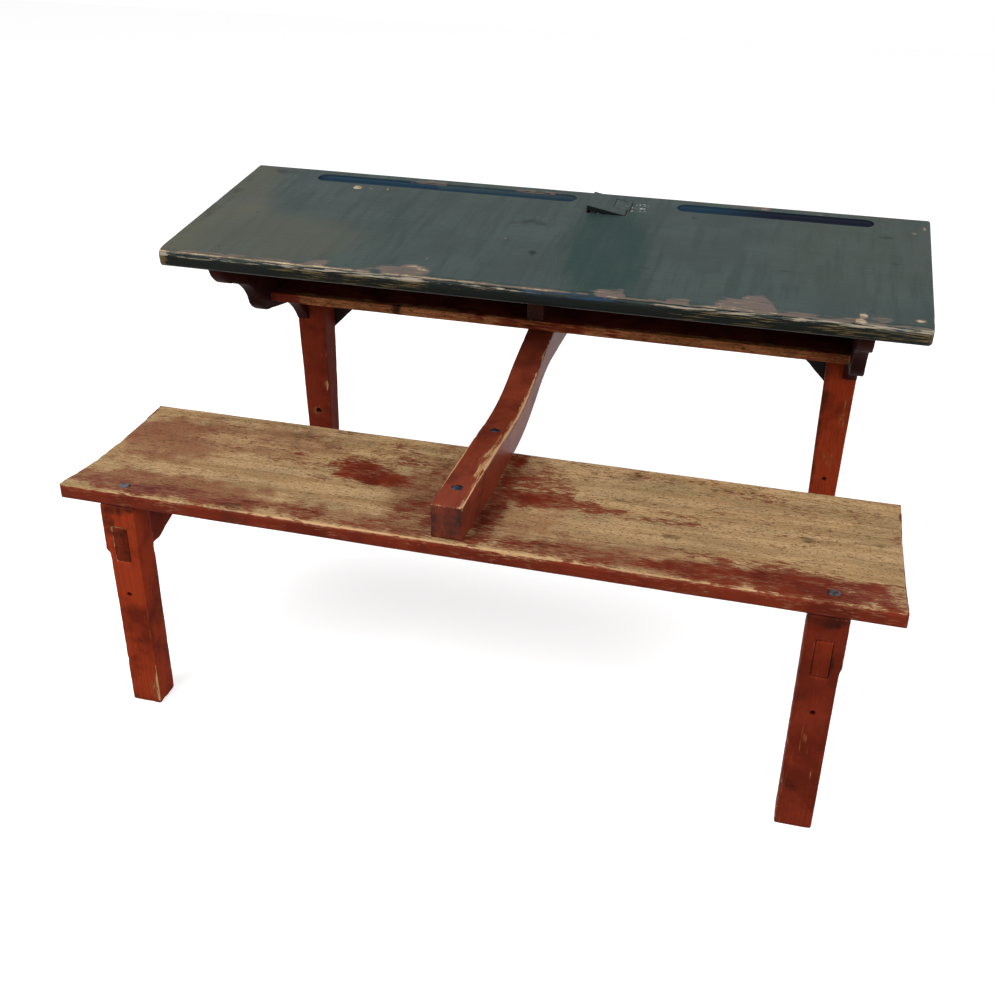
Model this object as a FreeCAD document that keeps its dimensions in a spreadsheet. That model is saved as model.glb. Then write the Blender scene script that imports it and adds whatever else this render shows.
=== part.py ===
import FreeCAD, Part
import math
import os
import re

import Sketcher

V = FreeCAD.Vector
NEAR = 0.01  # two places closer than this are one place

# Every driving size in millimetres or degrees. The bench is measured from its front face and the floor,
# the desk from the front edge of its sloping top, and the top's own fittings from the top's edges.
SIZES = [
    ("desk_width", 1200, "length of the writing top and of the bench seat"),
    ("cut_over", 5, "how far a cut runs out past the face that it starts from"),
    # Bench seat
    ("seat_z", 377, "height of the seat at its front edge"),
    ("seat_deep", 298, "depth of the bench seat"),
    ("seat_thick", 22, "thickness of the seat"),
    ("seat_nose", 7, "radius of the seat's front edge"),
    ("seat_edge", 4, "radius of the seat's other edges"),
    ("seat_narrow", 6, "taper of each end of the seat towards the back"),
    ("seat_corner", 7, "radius of the seat's corners in plan"),
    ("dish_front_y", 18, "front of the dish"),
    ("dish_low_y", 130, "lowest place of the dish"),
    ("dish_deep", 7.5, "depth of the dish"),
    ("seat_back_drop", 1.5, "fall of the seat from front edge to back edge"),
    # Bench legs and seat bearers
    ("bench_left_in", 91.5, "middle of the left bench leg's head from the end of the seat"),
    ("bench_right_in", 95.5, "middle of the right bench leg's head from the end of the seat"),
    ("bench_leg_wide", 54, "width of a bench leg's head"),
    ("bench_leg_deep", 45, "depth of a bench leg"),
    ("bench_step_left", 6, "step in the outer face of the left bench leg"),
    ("bench_step_right", 2.5, "step in the outer face of the right bench leg"),
    ("bench_step_drop", 73, "upper end of that step under the seat"),
    ("bench_step_tall", 13, "height of that step"),
    ("rail_hole_bench_z", 202, "height of the rail holes in the bench legs"),
    ("rail_hole_bench", 4.25, "radius of the rail holes in the bench legs"),
    ("bearer_thick", 22, "thickness of the seat bearers"),
    ("bearer_short", 18, "how far the bearers stop before the back of the seat"),
    ("bearer_tall", 99, "height of the bearers behind the leg"),
    ("bearer_level", 43, "length of the bearers' level edge behind the leg"),
    ("bearer_end_tall", 30, "height of the bearers at the back"),
    ("tenon_low", 94, "lower edge of the tenon under the seat"),
    ("tenon_high", 38, "upper edge of the tenon under the seat"),
    # Writing top
    ("top_gap", 51, "gap between the back of the seat and the front edge of the top"),
    ("top_rise", 248, "height of the top's front edge over the seat"),
    ("top_depth", 408, "depth of the writing top, measured up its slope"),
    ("top_thick", 28, "thickness of the writing top"),
    ("top_slope", 6.2, "slope of the writing top in degrees"),
    ("nose_flat", 12, "flat left between the two roundings of the front edge"),
    ("top_edge", 4.5, "radius of the back edge"),
    ("top_corner_front", 9, "radius of the front corners in plan"),
    ("top_corner_back", 12, "radius of the back corners in plan"),
    ("groove_back", 37, "middle of the pen grooves before the back edge"),
    ("groove_wide", 33, "width of a pen groove"),
    ("groove_deep", 7, "depth of a pen groove"),
    ("groove_flat", 1, "flat left between the two roundings of a pen groove's end"),
    ("groove_round", 5.6, "radius along the floor of a pen groove"),
    ("groove_left_end", 131, "left pen groove from the left end of the top"),
    ("groove_flap_gap", 29, "left pen groove to the flap"),
    ("groove_hinge_gap", 48.3, "hinge to the right pen groove"),
    ("groove_right_end", 89, "right pen groove from the right end of the top"),
    # Inkwell flap, its hinge and the pot under it
    ("flap_left", 40, "left edge of the inkwell flap from the middle of the top"),
    ("flap_wide", 66.7, "width of the flap, hinge line to left edge"),
    ("flap_back", 28, "flap to the back edge of the top"),
    ("flap_long", 66, "length of the flap, up the slope"),
    ("flap_thick", 8, "thickness of the flap"),
    ("flap_gap", 0.7, "gap round the flap"),
    ("flap_seam", 0.35, "half of the seam at the hinge"),
    ("flap_open", 11, "angle at which the flap rests on the rim of the pot"),
    ("flap_round", 1.5, "radius of the flap's upper edges"),
    ("rebate_clear", 1, "room under the closed flap"),
    ("hinge_rise", 1, "height of the hinge axis over the top"),
    ("hinge_shift", 7, "how far the hinge sits behind the middle of the flap"),
    ("hinge_long", 38, "length of the hinge"),
    ("hinge_clear", 0.35, "gap between the knuckles and round them"),
    ("knuckle_long", 14, "length of the middle knuckle"),
    ("knuckle_radius", 2.75, "outer radius of the knuckles"),
    ("pin_radius", 1.5, "radius of the hinge pin"),
    ("pin_clear", 0.06, "radial play of the pin in the moving leaf"),
    ("leaf_thick", 1.5, "thickness of the hinge leaves"),
    ("leaf_fixed_wide", 31, "width of the fixed leaf"),
    ("leaf_moving_wide", 24, "width of the moving leaf"),
    ("leaf_screw_fixed", 19, "screws of the fixed leaf, distance from the hinge axis"),
    ("leaf_screw_moving", 14, "screws of the moving leaf, distance from the hinge axis"),
    ("leaf_screw_apart", 22, "distance between the two screws of a leaf"),
    ("leaf_screw_head", 3, "radius of a leaf screw's head"),
    ("leaf_screw_shank", 1.4, "radius of a leaf screw's shank"),
    ("leaf_screw_long", 7, "length of a leaf screw"),
    ("pot_hole", 22, "radius of the hole for the ink pot"),
    ("pot_play", 0.4, "radial play of the ink pot in its hole"),
    ("pot_lip", 3, "how far the ink pot's rim reaches over its hole"),
    ("pot_rim_thick", 2, "thickness of the ink pot's rim"),
    ("pot_wall", 3.6, "wall of the ink pot"),
    ("pot_tall", 45, "height of the ink pot under its rim"),
    ("pot_floor", 5, "floor of the ink pot"),
    ("pot_foot", 3, "chamfer at the foot of the ink pot"),
    # Book box. Its depths run back from the front edge of the top, its drops down from that edge.
    ("box_x", 3, "how far the book box and its legs stand to the right of the middle"),
    ("end_overhang", 79.5, "overhang of the top past the end boards"),
    ("end_thick", 22, "thickness of the end boards"),
    ("end_front", 11, "front of the end boards under the top"),
    ("lobe_one_back", 54, "end of the first lobe"),
    ("lobe_one_drop", 62, "drop of the end of the first lobe"),
    ("lobe_one_bow", 7.5, "bow of the first lobe"),
    ("cove_back", 107, "start of the hollow"),
    ("cove_drop", 83, "drop of the start of the hollow"),
    ("cove_bow", 5.5, "bow of the hollow"),
    ("lobe_two_back", 146, "start of the second lobe"),
    ("lobe_two_drop", 130, "drop of the start of the second lobe"),
    ("lobe_two_bow", 3.2, "bow of the second lobe"),
    ("run_back", 175, "start of the long lower edge"),
    ("run_drop", 150, "drop of the start of the long lower edge"),
    ("run_end_drop", 168, "drop of the end of the long lower edge"),
    ("foot_cove_deep", 72, "depth of the hollow before the leg"),
    ("foot_cove_bow", 9, "bow of the hollow before the leg"),
    ("lap_drop", 227, "drop of the foot of the half lap of end board and leg"),
    ("shelf_back", 189, "front edge of the book shelf"),
    ("shelf_drop", 123, "drop of the upper face of the book shelf"),
    ("shelf_thick", 16, "thickness of the book shelf"),
    ("shelf_round", 2, "radius of the shelf's front edges"),
    ("divider_x", -16, "middle of the centre divider from the middle of the top"),
    ("divider_thick", 28, "thickness of the centre divider"),
    ("divider_back", 3, "setback of the divider behind the shelf edge"),
    ("back_over", 0.5, "how far the top stands out behind the back board"),
    ("back_thick", 8, "thickness of the back board and the gussets"),
    ("back_drop", 194, "drop of the lower edge of the back board"),
    # Desk legs and gussets
    ("leg_head_drop", 200, "drop of the place where the taper of the desk legs starts"),
    ("leg_head_wide", 54, "width of a desk leg at its head"),
    ("leg_head_deep", 57, "depth of a desk leg at its head"),
    ("leg_foot_wide", 44, "width of a desk leg at the floor"),
    ("leg_foot_deep", 36, "depth of a desk leg at the floor"),
    ("rail_hole_left_z", 200, "height of the rail hole in the left desk leg"),
    ("rail_hole_left", 6.5, "radius of the rail hole in the left desk leg"),
    ("rail_hole_right_z", 196, "height of the rail hole in the right desk leg"),
    ("rail_hole_right", 4.5, "radius of the rail hole in the right desk leg"),
    ("gusset_in", 3.5, "outer corner of the gussets inside the end board's outer face"),
    ("gusset_leg", 114, "length of the gussets' square sides"),
    # Centre beam
    ("beam_x", -8.75, "middle of the centre beam from the middle of the top"),
    ("beam_wide", 45.5, "width of the centre beam"),
    ("beam_front_y", 12, "front face of the centre beam"),
    ("beam_tall", 51.5, "height of the beam's front face over the seat"),
    ("beam_crown", 2.5, "bow of the beam's upper face over the seat"),
    ("beam_dip_in", 8, "lowest place of the upper face before the back of the seat"),
    ("beam_dip_tall", 48.5, "height of that place over the seat"),
    ("beam_rise_along", 0.492, "turn of the upper face's curve, as a share of its way back to the shelf"),
    ("beam_rise_up", 0.397, "turn of the upper face's curve, as a share of its way up to the shelf"),
    ("beam_hollow", 7.3, "bow of the hollow half of the upper face"),
    ("beam_swell", 2.8, "bow of the round half of the upper face"),
    ("beam_shelf_in", 57, "place where the beam meets the shelf behind the shelf's front"),
    ("beam_heel_out", 2, "start of the underside's curve behind the seat"),
    ("beam_heel_drop", 3, "drop of that start under the seat's upper face"),
    ("beam_turn_along", 0.573, "turn of the underside's curve, as a share of its way back"),
    ("beam_turn_up", 0.591, "turn of the underside's curve, as a share of its way up"),
    ("beam_under_bow", 6.9, "bow of the first half of the underside"),
    ("beam_flat_in", 22, "start of the flat underside behind the shelf's front"),
    ("beam_end_thick", 54.5, "thickness of the beam under the shelf"),
    # Bolts of the beam
    ("bolt_front_y", 66, "front beam bolt"),
    ("bolt_back_in", 36, "back beam bolt before the back of the seat"),
    ("bolt_sink_front", 1, "front bolt head under the beam's front edge"),
    ("bolt_sink_back", 1.2, "back bolt head under the beam's lowest place"),
    ("bolt_head", 8.8, "radius of a bolt head"),
    ("bolt_head_tall", 4.6, "height of a bolt head"),
    ("bolt_head_rim", 1.2, "height of the rim of a bolt head"),
    ("bolt_shank", 4, "radius of a bolt shank"),
    ("bolt_tail", 14, "length of bolt under the seat"),
    ("washer_radius", 11, "radius of a washer"),
    ("washer_thick", 2, "thickness of a washer"),
    ("nut_wide", 14, "width of a square nut"),
    ("nut_thick", 7, "thickness of a square nut"),
    # Screws
    ("seat_screw_shift", 2.5, "seat screws to the right of the middle of the legs"),
    ("seat_screw_y", 26, "depth of the seat screws"),
    ("seat_screw_head", 8, "radius of a seat screw's head"),
    ("seat_screw_flat", 5.5, "radius of the flat on a seat screw's head"),
    ("seat_screw_head_tall", 3, "height of a seat screw's head"),
    ("seat_screw_rim", 1.8, "height of the rim of a seat screw's head"),
    ("seat_screw_sink", 2, "how deep a seat screw's head is let in"),
    ("seat_screw_shank", 3.5, "radius of a seat screw's shank"),
    ("seat_screw_long", 48, "length of a seat screw under its head"),
    ("wood_screw_head", 4.5, "radius of a wood screw's head"),
    ("wood_screw_shank", 2.25, "radius of a wood screw's shank"),
    ("wood_screw_long", 44, "length of a wood screw"),
    ("beam_screw_long", 82, "length of the screws through the beam into shelf and divider"),
    ("beam_screw_front", 17, "front beam screw behind the place where the beam meets the shelf"),
    ("beam_screw_back", 58, "back beam screw before the back of the box"),
    ("end_screw_in", 28, "screws of the end boards before the back of the box"),
    ("end_screw_low", 22, "lower screw of an end board over the foot of the lap"),
    ("end_screw_high", 64, "upper screw of an end board over the foot of the lap"),
    # Nails
    ("nail_head", 2.6, "radius of a nail head"),
    ("nail_head_tall", 1, "height of a nail head"),
    ("nail_shank", 1.4, "radius of a nail"),
    ("nail_long", 50, "length of a nail"),
    ("top_nail_front", 37, "front top nail behind the front edge"),
    ("top_nail_back", 73, "back top nail before the back edge"),
    ("shelf_nail_front", 37, "front shelf nail behind the shelf's front"),
    ("shelf_nail_back", 76, "back shelf nail before the back of the box"),
    ("back_nail_low", 28, "lower nails of the back board over the shelf"),
    ("back_nail_high", 108, "upper nails of the back board over the shelf"),
]

PLACES = {}


def place(name, expression):
    """Name a place that follows from the driving sizes."""
    PLACES[name] = expression


# Places that follow from the driving sizes. Depths (y) run from the front face of the bench, heights (z)
# from the floor, and distances up the slope (v) from the front edge of the top.
place("seat_under", "seat_z - seat_thick")
place("seat_back_z", "seat_z - seat_back_drop")
place("dish_low_z", "seat_z - dish_deep")
place("dish_back_y", "seat_deep - seat_edge")
place("bench_left_x", "desk_width / 2 - bench_left_in")
place("bench_right_x", "desk_width / 2 - bench_right_in")
place("bench_step_z", "seat_under - bench_step_drop")
place("bearer_end_y", "seat_deep - bearer_short")
place("bearer_z", "seat_under - bearer_tall")
place("bearer_rise_y", "bench_leg_deep + bearer_level")
place("bearer_end_z", "seat_under - bearer_end_tall")
place("tenon_low_z", "seat_under - tenon_low")
place("tenon_high_z", "seat_under - tenon_high")
place("top_front_y", "seat_deep + top_gap")
place("top_front_z", "seat_z + top_rise")
place("top_nose", "(top_thick - nose_flat) / 2")
place("top_run", "(top_depth - top_edge) * cos(top_slope) + (top_thick - top_edge) * sin(top_slope)")
place("top_reach", "top_run + top_edge")
place("whole_depth", "top_front_y + top_reach")
place("bench_front_y", "0 - whole_depth / 2")
place("groove_v", "top_depth - groove_back")
place("groove_front_v", "groove_v - groove_wide / 2")
place("groove_back_v", "groove_v + groove_wide / 2")
place("groove_end", "(groove_wide - groove_flat) / 2")
place("groove_left_from", "groove_left_end - desk_width / 2")
place("groove_left_to", "flap_left - groove_flap_gap")
place("groove_right_from", "hinge_x + leaf_fixed_wide + groove_hinge_gap")
place("groove_right_to", "desk_width / 2 - groove_right_end")
place("flap_v", "top_depth - flap_back - flap_long")
place("rebate_deep", "flap_thick + rebate_clear")
place("hinge_x", "flap_left + flap_wide")
place("hinge_v", "flap_v + (flap_long - hinge_long) / 2 + hinge_shift")
place("hinge_end_v", "hinge_v + hinge_long")
place("knuckle_from", "hinge_v + (hinge_long - knuckle_long) / 2")
place("knuckle_to", "hinge_v + (hinge_long + knuckle_long) / 2")
place("knuckle_room", "knuckle_radius + hinge_clear")
place("gap_from", "knuckle_from - hinge_clear")
place("gap_to", "knuckle_to + hinge_clear")
place("pot_x", "flap_left + flap_wide / 2")
place("pot_v", "flap_v + flap_long / 2")
place("pot_rim", "pot_hole + pot_lip")
place("pot_out", "pot_hole - pot_play")
place("pot_in", "pot_out - pot_wall")
place("end_out", "desk_width / 2 - end_overhang")
place("end_in", "end_out - end_thick")
place("end_front_y", "top_front_y + end_front")
place("lobe_one_y", "top_front_y + lobe_one_back")
place("lobe_one_z", "top_front_z - lobe_one_drop")
place("cove_y", "top_front_y + cove_back")
place("cove_z", "top_front_z - cove_drop")
place("lobe_two_y", "top_front_y + lobe_two_back")
place("lobe_two_z", "top_front_z - lobe_two_drop")
place("run_y", "top_front_y + run_back")
place("run_z", "top_front_z - run_drop")
place("run_end_y", "leg_front_y - foot_cove_deep")
place("run_end_z", "top_front_z - run_end_drop")
place("lap_z", "top_front_z - lap_drop")
place("shelf_front_y", "top_front_y + shelf_back")
place("shelf_z", "top_front_z - shelf_drop")
place("shelf_under", "shelf_z - shelf_thick")
place("shelf_middle_z", "shelf_z - shelf_thick / 2")
place("divider_front_y", "shelf_front_y + divider_back")
place("back_face_y", "whole_depth - back_over")
place("box_back_y", "back_face_y - back_thick")
place("back_z", "top_front_z - back_drop")
place("leg_x", "end_out - leg_head_wide / 2")
place("leg_head_z", "top_front_z - leg_head_drop")
place("leg_front_y", "box_back_y - leg_head_deep")
place("gusset_x", "end_out - gusset_in")
place("beam_front_z", "seat_z + beam_tall")
place("beam_dip_y", "seat_deep - beam_dip_in")
place("beam_dip_z", "seat_z + beam_dip_tall")
place("beam_shelf_y", "shelf_front_y + beam_shelf_in")
place("beam_rise_y", "beam_dip_y + (beam_shelf_y - beam_dip_y) * beam_rise_along")
place("beam_rise_z", "beam_dip_z + (shelf_under - beam_dip_z) * beam_rise_up")
place("beam_heel_y", "seat_deep + beam_heel_out")
place("beam_heel_z", "seat_z - beam_heel_drop")
place("beam_flat_y", "shelf_front_y + beam_flat_in")
place("beam_flat_z", "shelf_under - beam_end_thick")
place("beam_turn_y", "beam_heel_y + (beam_flat_y - beam_heel_y) * beam_turn_along")
place("beam_turn_z", "beam_heel_z + (beam_flat_z - beam_heel_z) * beam_turn_up")
place("bolt_back_y", "seat_deep - bolt_back_in")
place("bolt_front_z", "beam_front_z - bolt_sink_front")
place("bolt_back_z", "beam_dip_z - bolt_sink_back")
place("seat_screw_z", "seat_z - seat_screw_sink")
place("beam_screw_front_y", "beam_shelf_y + beam_screw_front")
place("beam_screw_back_y", "box_back_y - beam_screw_back")
place("end_screw_y", "box_back_y - end_screw_in")
place("end_screw_low_z", "lap_z + end_screw_low")
place("end_screw_high_z", "lap_z + end_screw_high")
place("board_nail_x", "end_out - end_thick / 2")
place("top_nail_front_v", "top_nail_front")
place("top_nail_middle_v", "(top_nail_front_v + top_nail_back_v) / 2")
place("top_nail_back_v", "top_depth - top_nail_back")
place("shelf_nail_front_y", "shelf_front_y + shelf_nail_front")
place("shelf_nail_back_y", "box_back_y - shelf_nail_back")
place("back_nail_low_z", "shelf_z + back_nail_low")
place("back_nail_high_z", "shelf_z + back_nail_high")

NAMES = {alias for alias, _, _ in SIZES}
WORD = re.compile(r"[A-Za-z_]\w*")

doc = FreeCAD.newDocument("SchoolDesk")
sheet = doc.addObject("Spreadsheet::Sheet", "Sizes")
for row, (alias, number, note) in enumerate(SIZES, start=1):
    sheet.set(f"A{row}", alias)
    sheet.set(f"B{row}", str(number))
    sheet.set(f"C{row}", note)
    sheet.setAlias(f"B{row}", alias)
doc.recompute()


def bound(text):
    """Point every size in an expression at the sheet, and follow every place back to its sizes."""
    text = str(text)
    while any(word in PLACES for word in WORD.findall(text)):
        text = WORD.sub(lambda word: f"({PLACES[word[0]]})" if word[0] in PLACES else word[0], text)
    return WORD.sub(lambda word: f"Sizes.{word[0]}" if word[0] in NAMES else word[0], text)


def value(text):
    """Work an expression out in millimetres or degrees."""
    found = sheet.evalExpression(bound(text))
    return float(getattr(found, "Value", found))


def frame(x="0", y="0", z="0", axis="1; 0; 0", turn="0"):
    """Write a placement as an expression: a place and a turn about one axis."""
    place = f"create(<<vector>>; {x}; {y}; {z})"
    rotation = f"create(<<rotation>>; create(<<vector>>; {axis}); {turn})"
    return f"create(<<placement>>; {place}; {rotation})"


# The middle of the whole depth is the origin.
TOP_FRAME = frame("0", "top_front_y + bench_front_y", "top_front_z", "1; 0; 0", "top_slope")
HINGE_FRAME = f"{TOP_FRAME} * {frame('hinge_x', '0', 'hinge_rise')}"
FLAP_FRAME = f"{TOP_FRAME} * {frame('hinge_x', '0', 'hinge_rise', '0; 1; 0', 'flap_open')}"


def from_bench(x="0"):
    """Frame of a piece drawn with depths from the bench front and heights from the floor."""
    return frame(x, "bench_front_y", "0")


def from_box(x="0"):
    """The same frame, measured from the middle of the book box."""
    return from_bench(f"box_x + ({x})")


def under_top(depth):
    """Height of the top's underside over one depth."""
    return f"(top_front_z + (({depth}) - top_front_y) * tan(top_slope) - top_thick / cos(top_slope))"


def bow_radius(x_one, y_one, x_two, y_two, bow):
    """Radius of an arc between two places that bows out by a given amount."""
    chord = f"((({x_two}) - ({x_one}))^2 + (({y_two}) - ({y_one}))^2)"
    return f"(({chord} / 4 + ({bow})^2) / (2 * ({bow})))"


def level_radius(along, rise):
    """Radius of an arc that ends level after a given run and rise."""
    return f"((({along})^2 + ({rise})^2) / (2 * ({rise})))"


def new_body(name, placement):
    """Start a body in its frame."""
    body = doc.addObject("PartDesign::Body", name)
    body.Label = name
    body.setExpression("Placement", bound(placement))
    return body


def sketch_on(body, role, lift=None):
    """Put a sketch on one of the body's own planes, lifted off it if asked."""
    sketch = body.newObject("Sketcher::SketchObject", f"{body.Name}_sketch")
    plane = next(item for item in body.Origin.OriginFeatures if item.Role == role)
    sketch.AttachmentSupport = [(plane, "")]
    sketch.MapMode = "FlatFace"
    if lift is not None:
        sketch.setExpression("AttachmentOffset.Base.z", bound(lift))
    return sketch


def hold(sketch, kind, expression, *ends):
    """Add one dimension to a sketch and tie it to its expression."""
    index = sketch.addConstraint(Sketcher.Constraint(kind, *ends, value(expression)))
    sketch.setExpression(f"Constraints[{index}]", bound(expression))


def outline(sketch, corners):
    """Draw a closed outline.

    Each corner is (x, y), with a straight run to the next one, or (x, y, radius, side), with an arc to
    the next one that bows to the left (+1) or to the right (-1) of the way there.
    """
    places = [V(value(corner[0]), value(corner[1]), 0) for corner in corners]
    runs = []
    for index, corner in enumerate(corners):
        start = places[index]
        end = places[(index + 1) % len(places)]
        if len(corner) == 2:
            runs.append((sketch.addGeometry(Part.LineSegment(start, end)), 1, 2))
            continue
        radius = value(corner[2])
        chord = end - start
        rise = radius - math.sqrt(max(radius ** 2 - chord.Length ** 2 / 4, 0))
        left = V(-chord.y, chord.x, 0) * (corner[3] * rise / chord.Length)
        crown = (start + end) * 0.5 + left
        if corner[3] > 0:
            runs.append((sketch.addGeometry(Part.Arc(end, crown, start)), 2, 1))
        else:
            runs.append((sketch.addGeometry(Part.Arc(start, crown, end)), 1, 2))
    for index, (run, start, end) in enumerate(runs):
        following, following_start, _ = runs[(index + 1) % len(runs)]
        sketch.addConstraint(Sketcher.Constraint("Coincident", run, end, following, following_start))
    for (run, start, _), corner in zip(runs, corners):
        hold(sketch, "DistanceX", corner[0], -1, 1, run, start)
        hold(sketch, "DistanceY", corner[1], -1, 1, run, start)
        if len(corner) == 4:
            hold(sketch, "Radius", corner[2], run)


def box_outline(sketch, x_from, x_to, y_from, y_to):
    """Draw a rectangle."""
    outline(sketch, [(x_from, y_from), (x_to, y_from), (x_to, y_to), (x_from, y_to)])


def soft_outline(sketch, x_from, x_to, y_from, y_to, radius):
    """Draw a rectangle with rounded corners."""
    x_one, x_two = f"({x_from} + {radius})", f"({x_to} - {radius})"
    y_one, y_two = f"({y_from} + {radius})", f"({y_to} - {radius})"
    outline(sketch, [
        (x_one, y_from), (x_two, y_from, radius, -1),
        (x_to, y_one), (x_to, y_two, radius, -1),
        (x_two, y_to), (x_one, y_to, radius, -1),
        (x_from, y_two), (x_from, y_one, radius, -1),
    ])


def circle(sketch, x, y, radius):
    """Draw a circle."""
    ring = sketch.addGeometry(Part.Circle(V(value(x), value(y), 0), V(0, 0, 1), value(radius)))
    hold(sketch, "DistanceX", x, -1, 1, ring, 3)
    hold(sketch, "DistanceY", y, -1, 1, ring, 3)
    hold(sketch, "Radius", radius, ring)


def pad(body, sketch, length, both_ways=False, backwards=False):
    """Raise a sketch to a solid."""
    feature = body.newObject("PartDesign::Pad", f"{body.Name}_pad")
    feature.Profile = sketch
    feature.setExpression("Length", bound(length))
    feature.SideType = "Symmetric" if both_ways else "One side"
    feature.Reversed = backwards
    doc.recompute()
    return feature


def pocket(body, sketch, depth=None, both_ways=False):
    """Cut a sketch into the body, right through if no depth is given."""
    before = body.Shape.Volume
    feature = body.newObject("PartDesign::Pocket", f"{body.Name}_pocket")
    feature.Profile = sketch
    if depth is None:
        feature.Type = "ThroughAll"
    else:
        feature.setExpression("Length", bound(depth))
    feature.SideType = "Symmetric" if both_ways else "One side"
    doc.recompute()
    if not 0 < body.Shape.Volume < before:
        raise RuntimeError(f"{feature.Label} takes nothing away")
    return feature


def fillet(body, radius, wanted):
    """Round those edges of the body that a test picks out."""
    base = body.Tip
    edges = [f"Edge{index}" for index, edge in enumerate(base.Shape.Edges, start=1) if wanted(edge)]
    feature = body.newObject("PartDesign::Fillet", f"{body.Name}_fillet")
    feature.Base = (base, edges)
    feature.setExpression("Radius", bound(radius))
    doc.recompute()
    return feature


def turned(name, profile, placement):
    """Turn a profile of (radius, height) corners about the body's upright axis."""
    body = new_body(name, placement)
    sketch = sketch_on(body, "XZ_Plane")
    outline(sketch, profile)
    feature = body.newObject("PartDesign::Revolution", f"{name}_turning")
    feature.Profile = sketch
    feature.ReferenceAxis = (sketch, ["V_Axis"])
    feature.Angle = 360
    doc.recompute()
    return body


def group(name, pieces):
    """Gather separate solids as one node."""
    compound = doc.addObject("Part::Compound", name)
    compound.Label = name
    compound.Links = pieces
    return compound


def fasteners(name, profile, placements):
    """Make one fastener at each placement and gather them as one node."""
    pieces = [turned(f"{name}_{number}", profile, placement)
              for number, placement in enumerate(placements, start=1)]
    return group(name, pieces)


def drilled(name, blank, *tools):
    """Take the fasteners' own room out of a blank."""
    drill = tools[0] if len(tools) == 1 else group(f"{name}_holes", list(tools))
    cut = doc.addObject("Part::Cut", name)
    cut.Label = name
    cut.Base = blank
    cut.Tool = drill
    return cut


def left_and_right(make):
    """Make a pair of pieces, handing over the side's name and its sign."""
    return [make("left", -1), make("right", 1)]


def facing(direction, x, y, z):
    """Frame of a fastener whose head looks along one direction, in the bench's depths."""
    turns = {
        "up": ("1; 0; 0", "0"),
        "down": ("1; 0; 0", "180"),
        "back": ("1; 0; 0", "-90"),
        "right": ("0; 1; 0", "90"),
        "left": ("0; 1; 0", "-90"),
    }
    axis, turn = turns[direction]
    return frame(x, f"({y}) + bench_front_y", z, axis, turn)


# Profiles of the fasteners, as radius and height with the top of the head at or near zero.
WOOD_SCREW = [
    ("0", "0"), ("wood_screw_head", "0"), ("wood_screw_shank", "wood_screw_shank - wood_screw_head"),
    ("wood_screw_shank", "-wood_screw_long"), ("0", "-wood_screw_long - 2 * wood_screw_shank"),
]
BEAM_SCREW = [
    ("0", "0"), ("wood_screw_head", "0"), ("wood_screw_shank", "wood_screw_shank - wood_screw_head"),
    ("wood_screw_shank", "-beam_screw_long"), ("0", "-beam_screw_long - 2 * wood_screw_shank"),
]
LEAF_SCREW = [
    ("0", "0"), ("leaf_screw_head", "0"), ("leaf_screw_shank", "-leaf_thick"),
    ("leaf_screw_shank", "leaf_screw_shank - leaf_screw_long"), ("0", "-leaf_screw_long"),
]
NAIL = [
    ("0", "0"), ("nail_head", "0"), ("nail_head", "-nail_head_tall"), ("nail_shank", "-nail_head_tall"),
    ("nail_shank", "-nail_long"), ("0", "-nail_long - 2 * nail_shank"),
]
SEAT_SCREW = [
    ("0", "seat_screw_head_tall"),
    ("seat_screw_flat", "seat_screw_head_tall"),
    ("seat_screw_head", "seat_screw_rim"),
    ("seat_screw_head", "0"), ("seat_screw_shank", "0"),
    ("seat_screw_shank", "-seat_screw_long"), ("0", "-seat_screw_long - 2 * seat_screw_shank"),
]


def bolt_profile(head_z):
    """A round-headed bolt from its head down to its tail under the seat."""
    tail = f"(seat_under - bolt_tail - ({head_z}))"
    dome = level_radius("bolt_head", "bolt_head_tall - bolt_head_rim")
    return [
        ("0", "bolt_head_tall", dome, 1), ("bolt_head", "bolt_head_rim"), ("bolt_head", "0"),
        ("bolt_shank", "0"),
        ("bolt_shank", tail), ("0", tail),
    ]


# Fasteners
side_name = {-1: "left", 1: "right"}
both = (-1, 1)
top_nail_rows = ("top_nail_front_v", "top_nail_middle_v", "top_nail_back_v")
top_nails = fasteners("top_nails", NAIL, [
    f"{TOP_FRAME} * {frame(f'box_x + {side} * board_nail_x', v)}" for side in both for v in top_nail_rows])
shelf_nails = fasteners("shelf_nails", NAIL, [
    facing(side_name[side], f"box_x + {side} * end_out", y, "shelf_middle_z")
    for side in both for y in ("shelf_nail_front_y", "shelf_nail_back_y")])
end_board_screws = fasteners("end_board_screws", WOOD_SCREW, [
    facing(side_name[side], f"box_x + {side} * end_out", "end_screw_y", z)
    for side in both for z in ("end_screw_low_z", "end_screw_high_z")])
back_nail_rows = ("back_nail_low_z", "back_nail_high_z")
back_nail_spots = [(f"box_x + {side} * board_nail_x", z) for side in both for z in back_nail_rows]
back_nail_spots += [(f"box_x + {side} * end_in / 2", "shelf_middle_z") for side in both]
back_nail_spots += [("divider_x", z) for z in back_nail_rows]
back_board_nails = fasteners("back_board_nails", NAIL, [
    facing("back", x, "back_face_y", z) for x, z in back_nail_spots])
gusset_spots = (
    ("(gusset_x - gusset_leg / 3)", "(back_z - gusset_leg / 3)"),
    ("(gusset_x - gusset_leg / 6)", "(back_z - gusset_leg * 2 / 3)"),
)
gusset_screws = fasteners("gusset_screws", WOOD_SCREW, [
    facing("back", f"box_x + {side} * {x}", "back_face_y", z) for side in both for x, z in gusset_spots])
beam_shelf_screws = fasteners("beam_shelf_screws", BEAM_SCREW, [
    facing("down", "beam_x", y, "beam_flat_z") for y in ("beam_screw_front_y", "beam_screw_back_y")])
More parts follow.
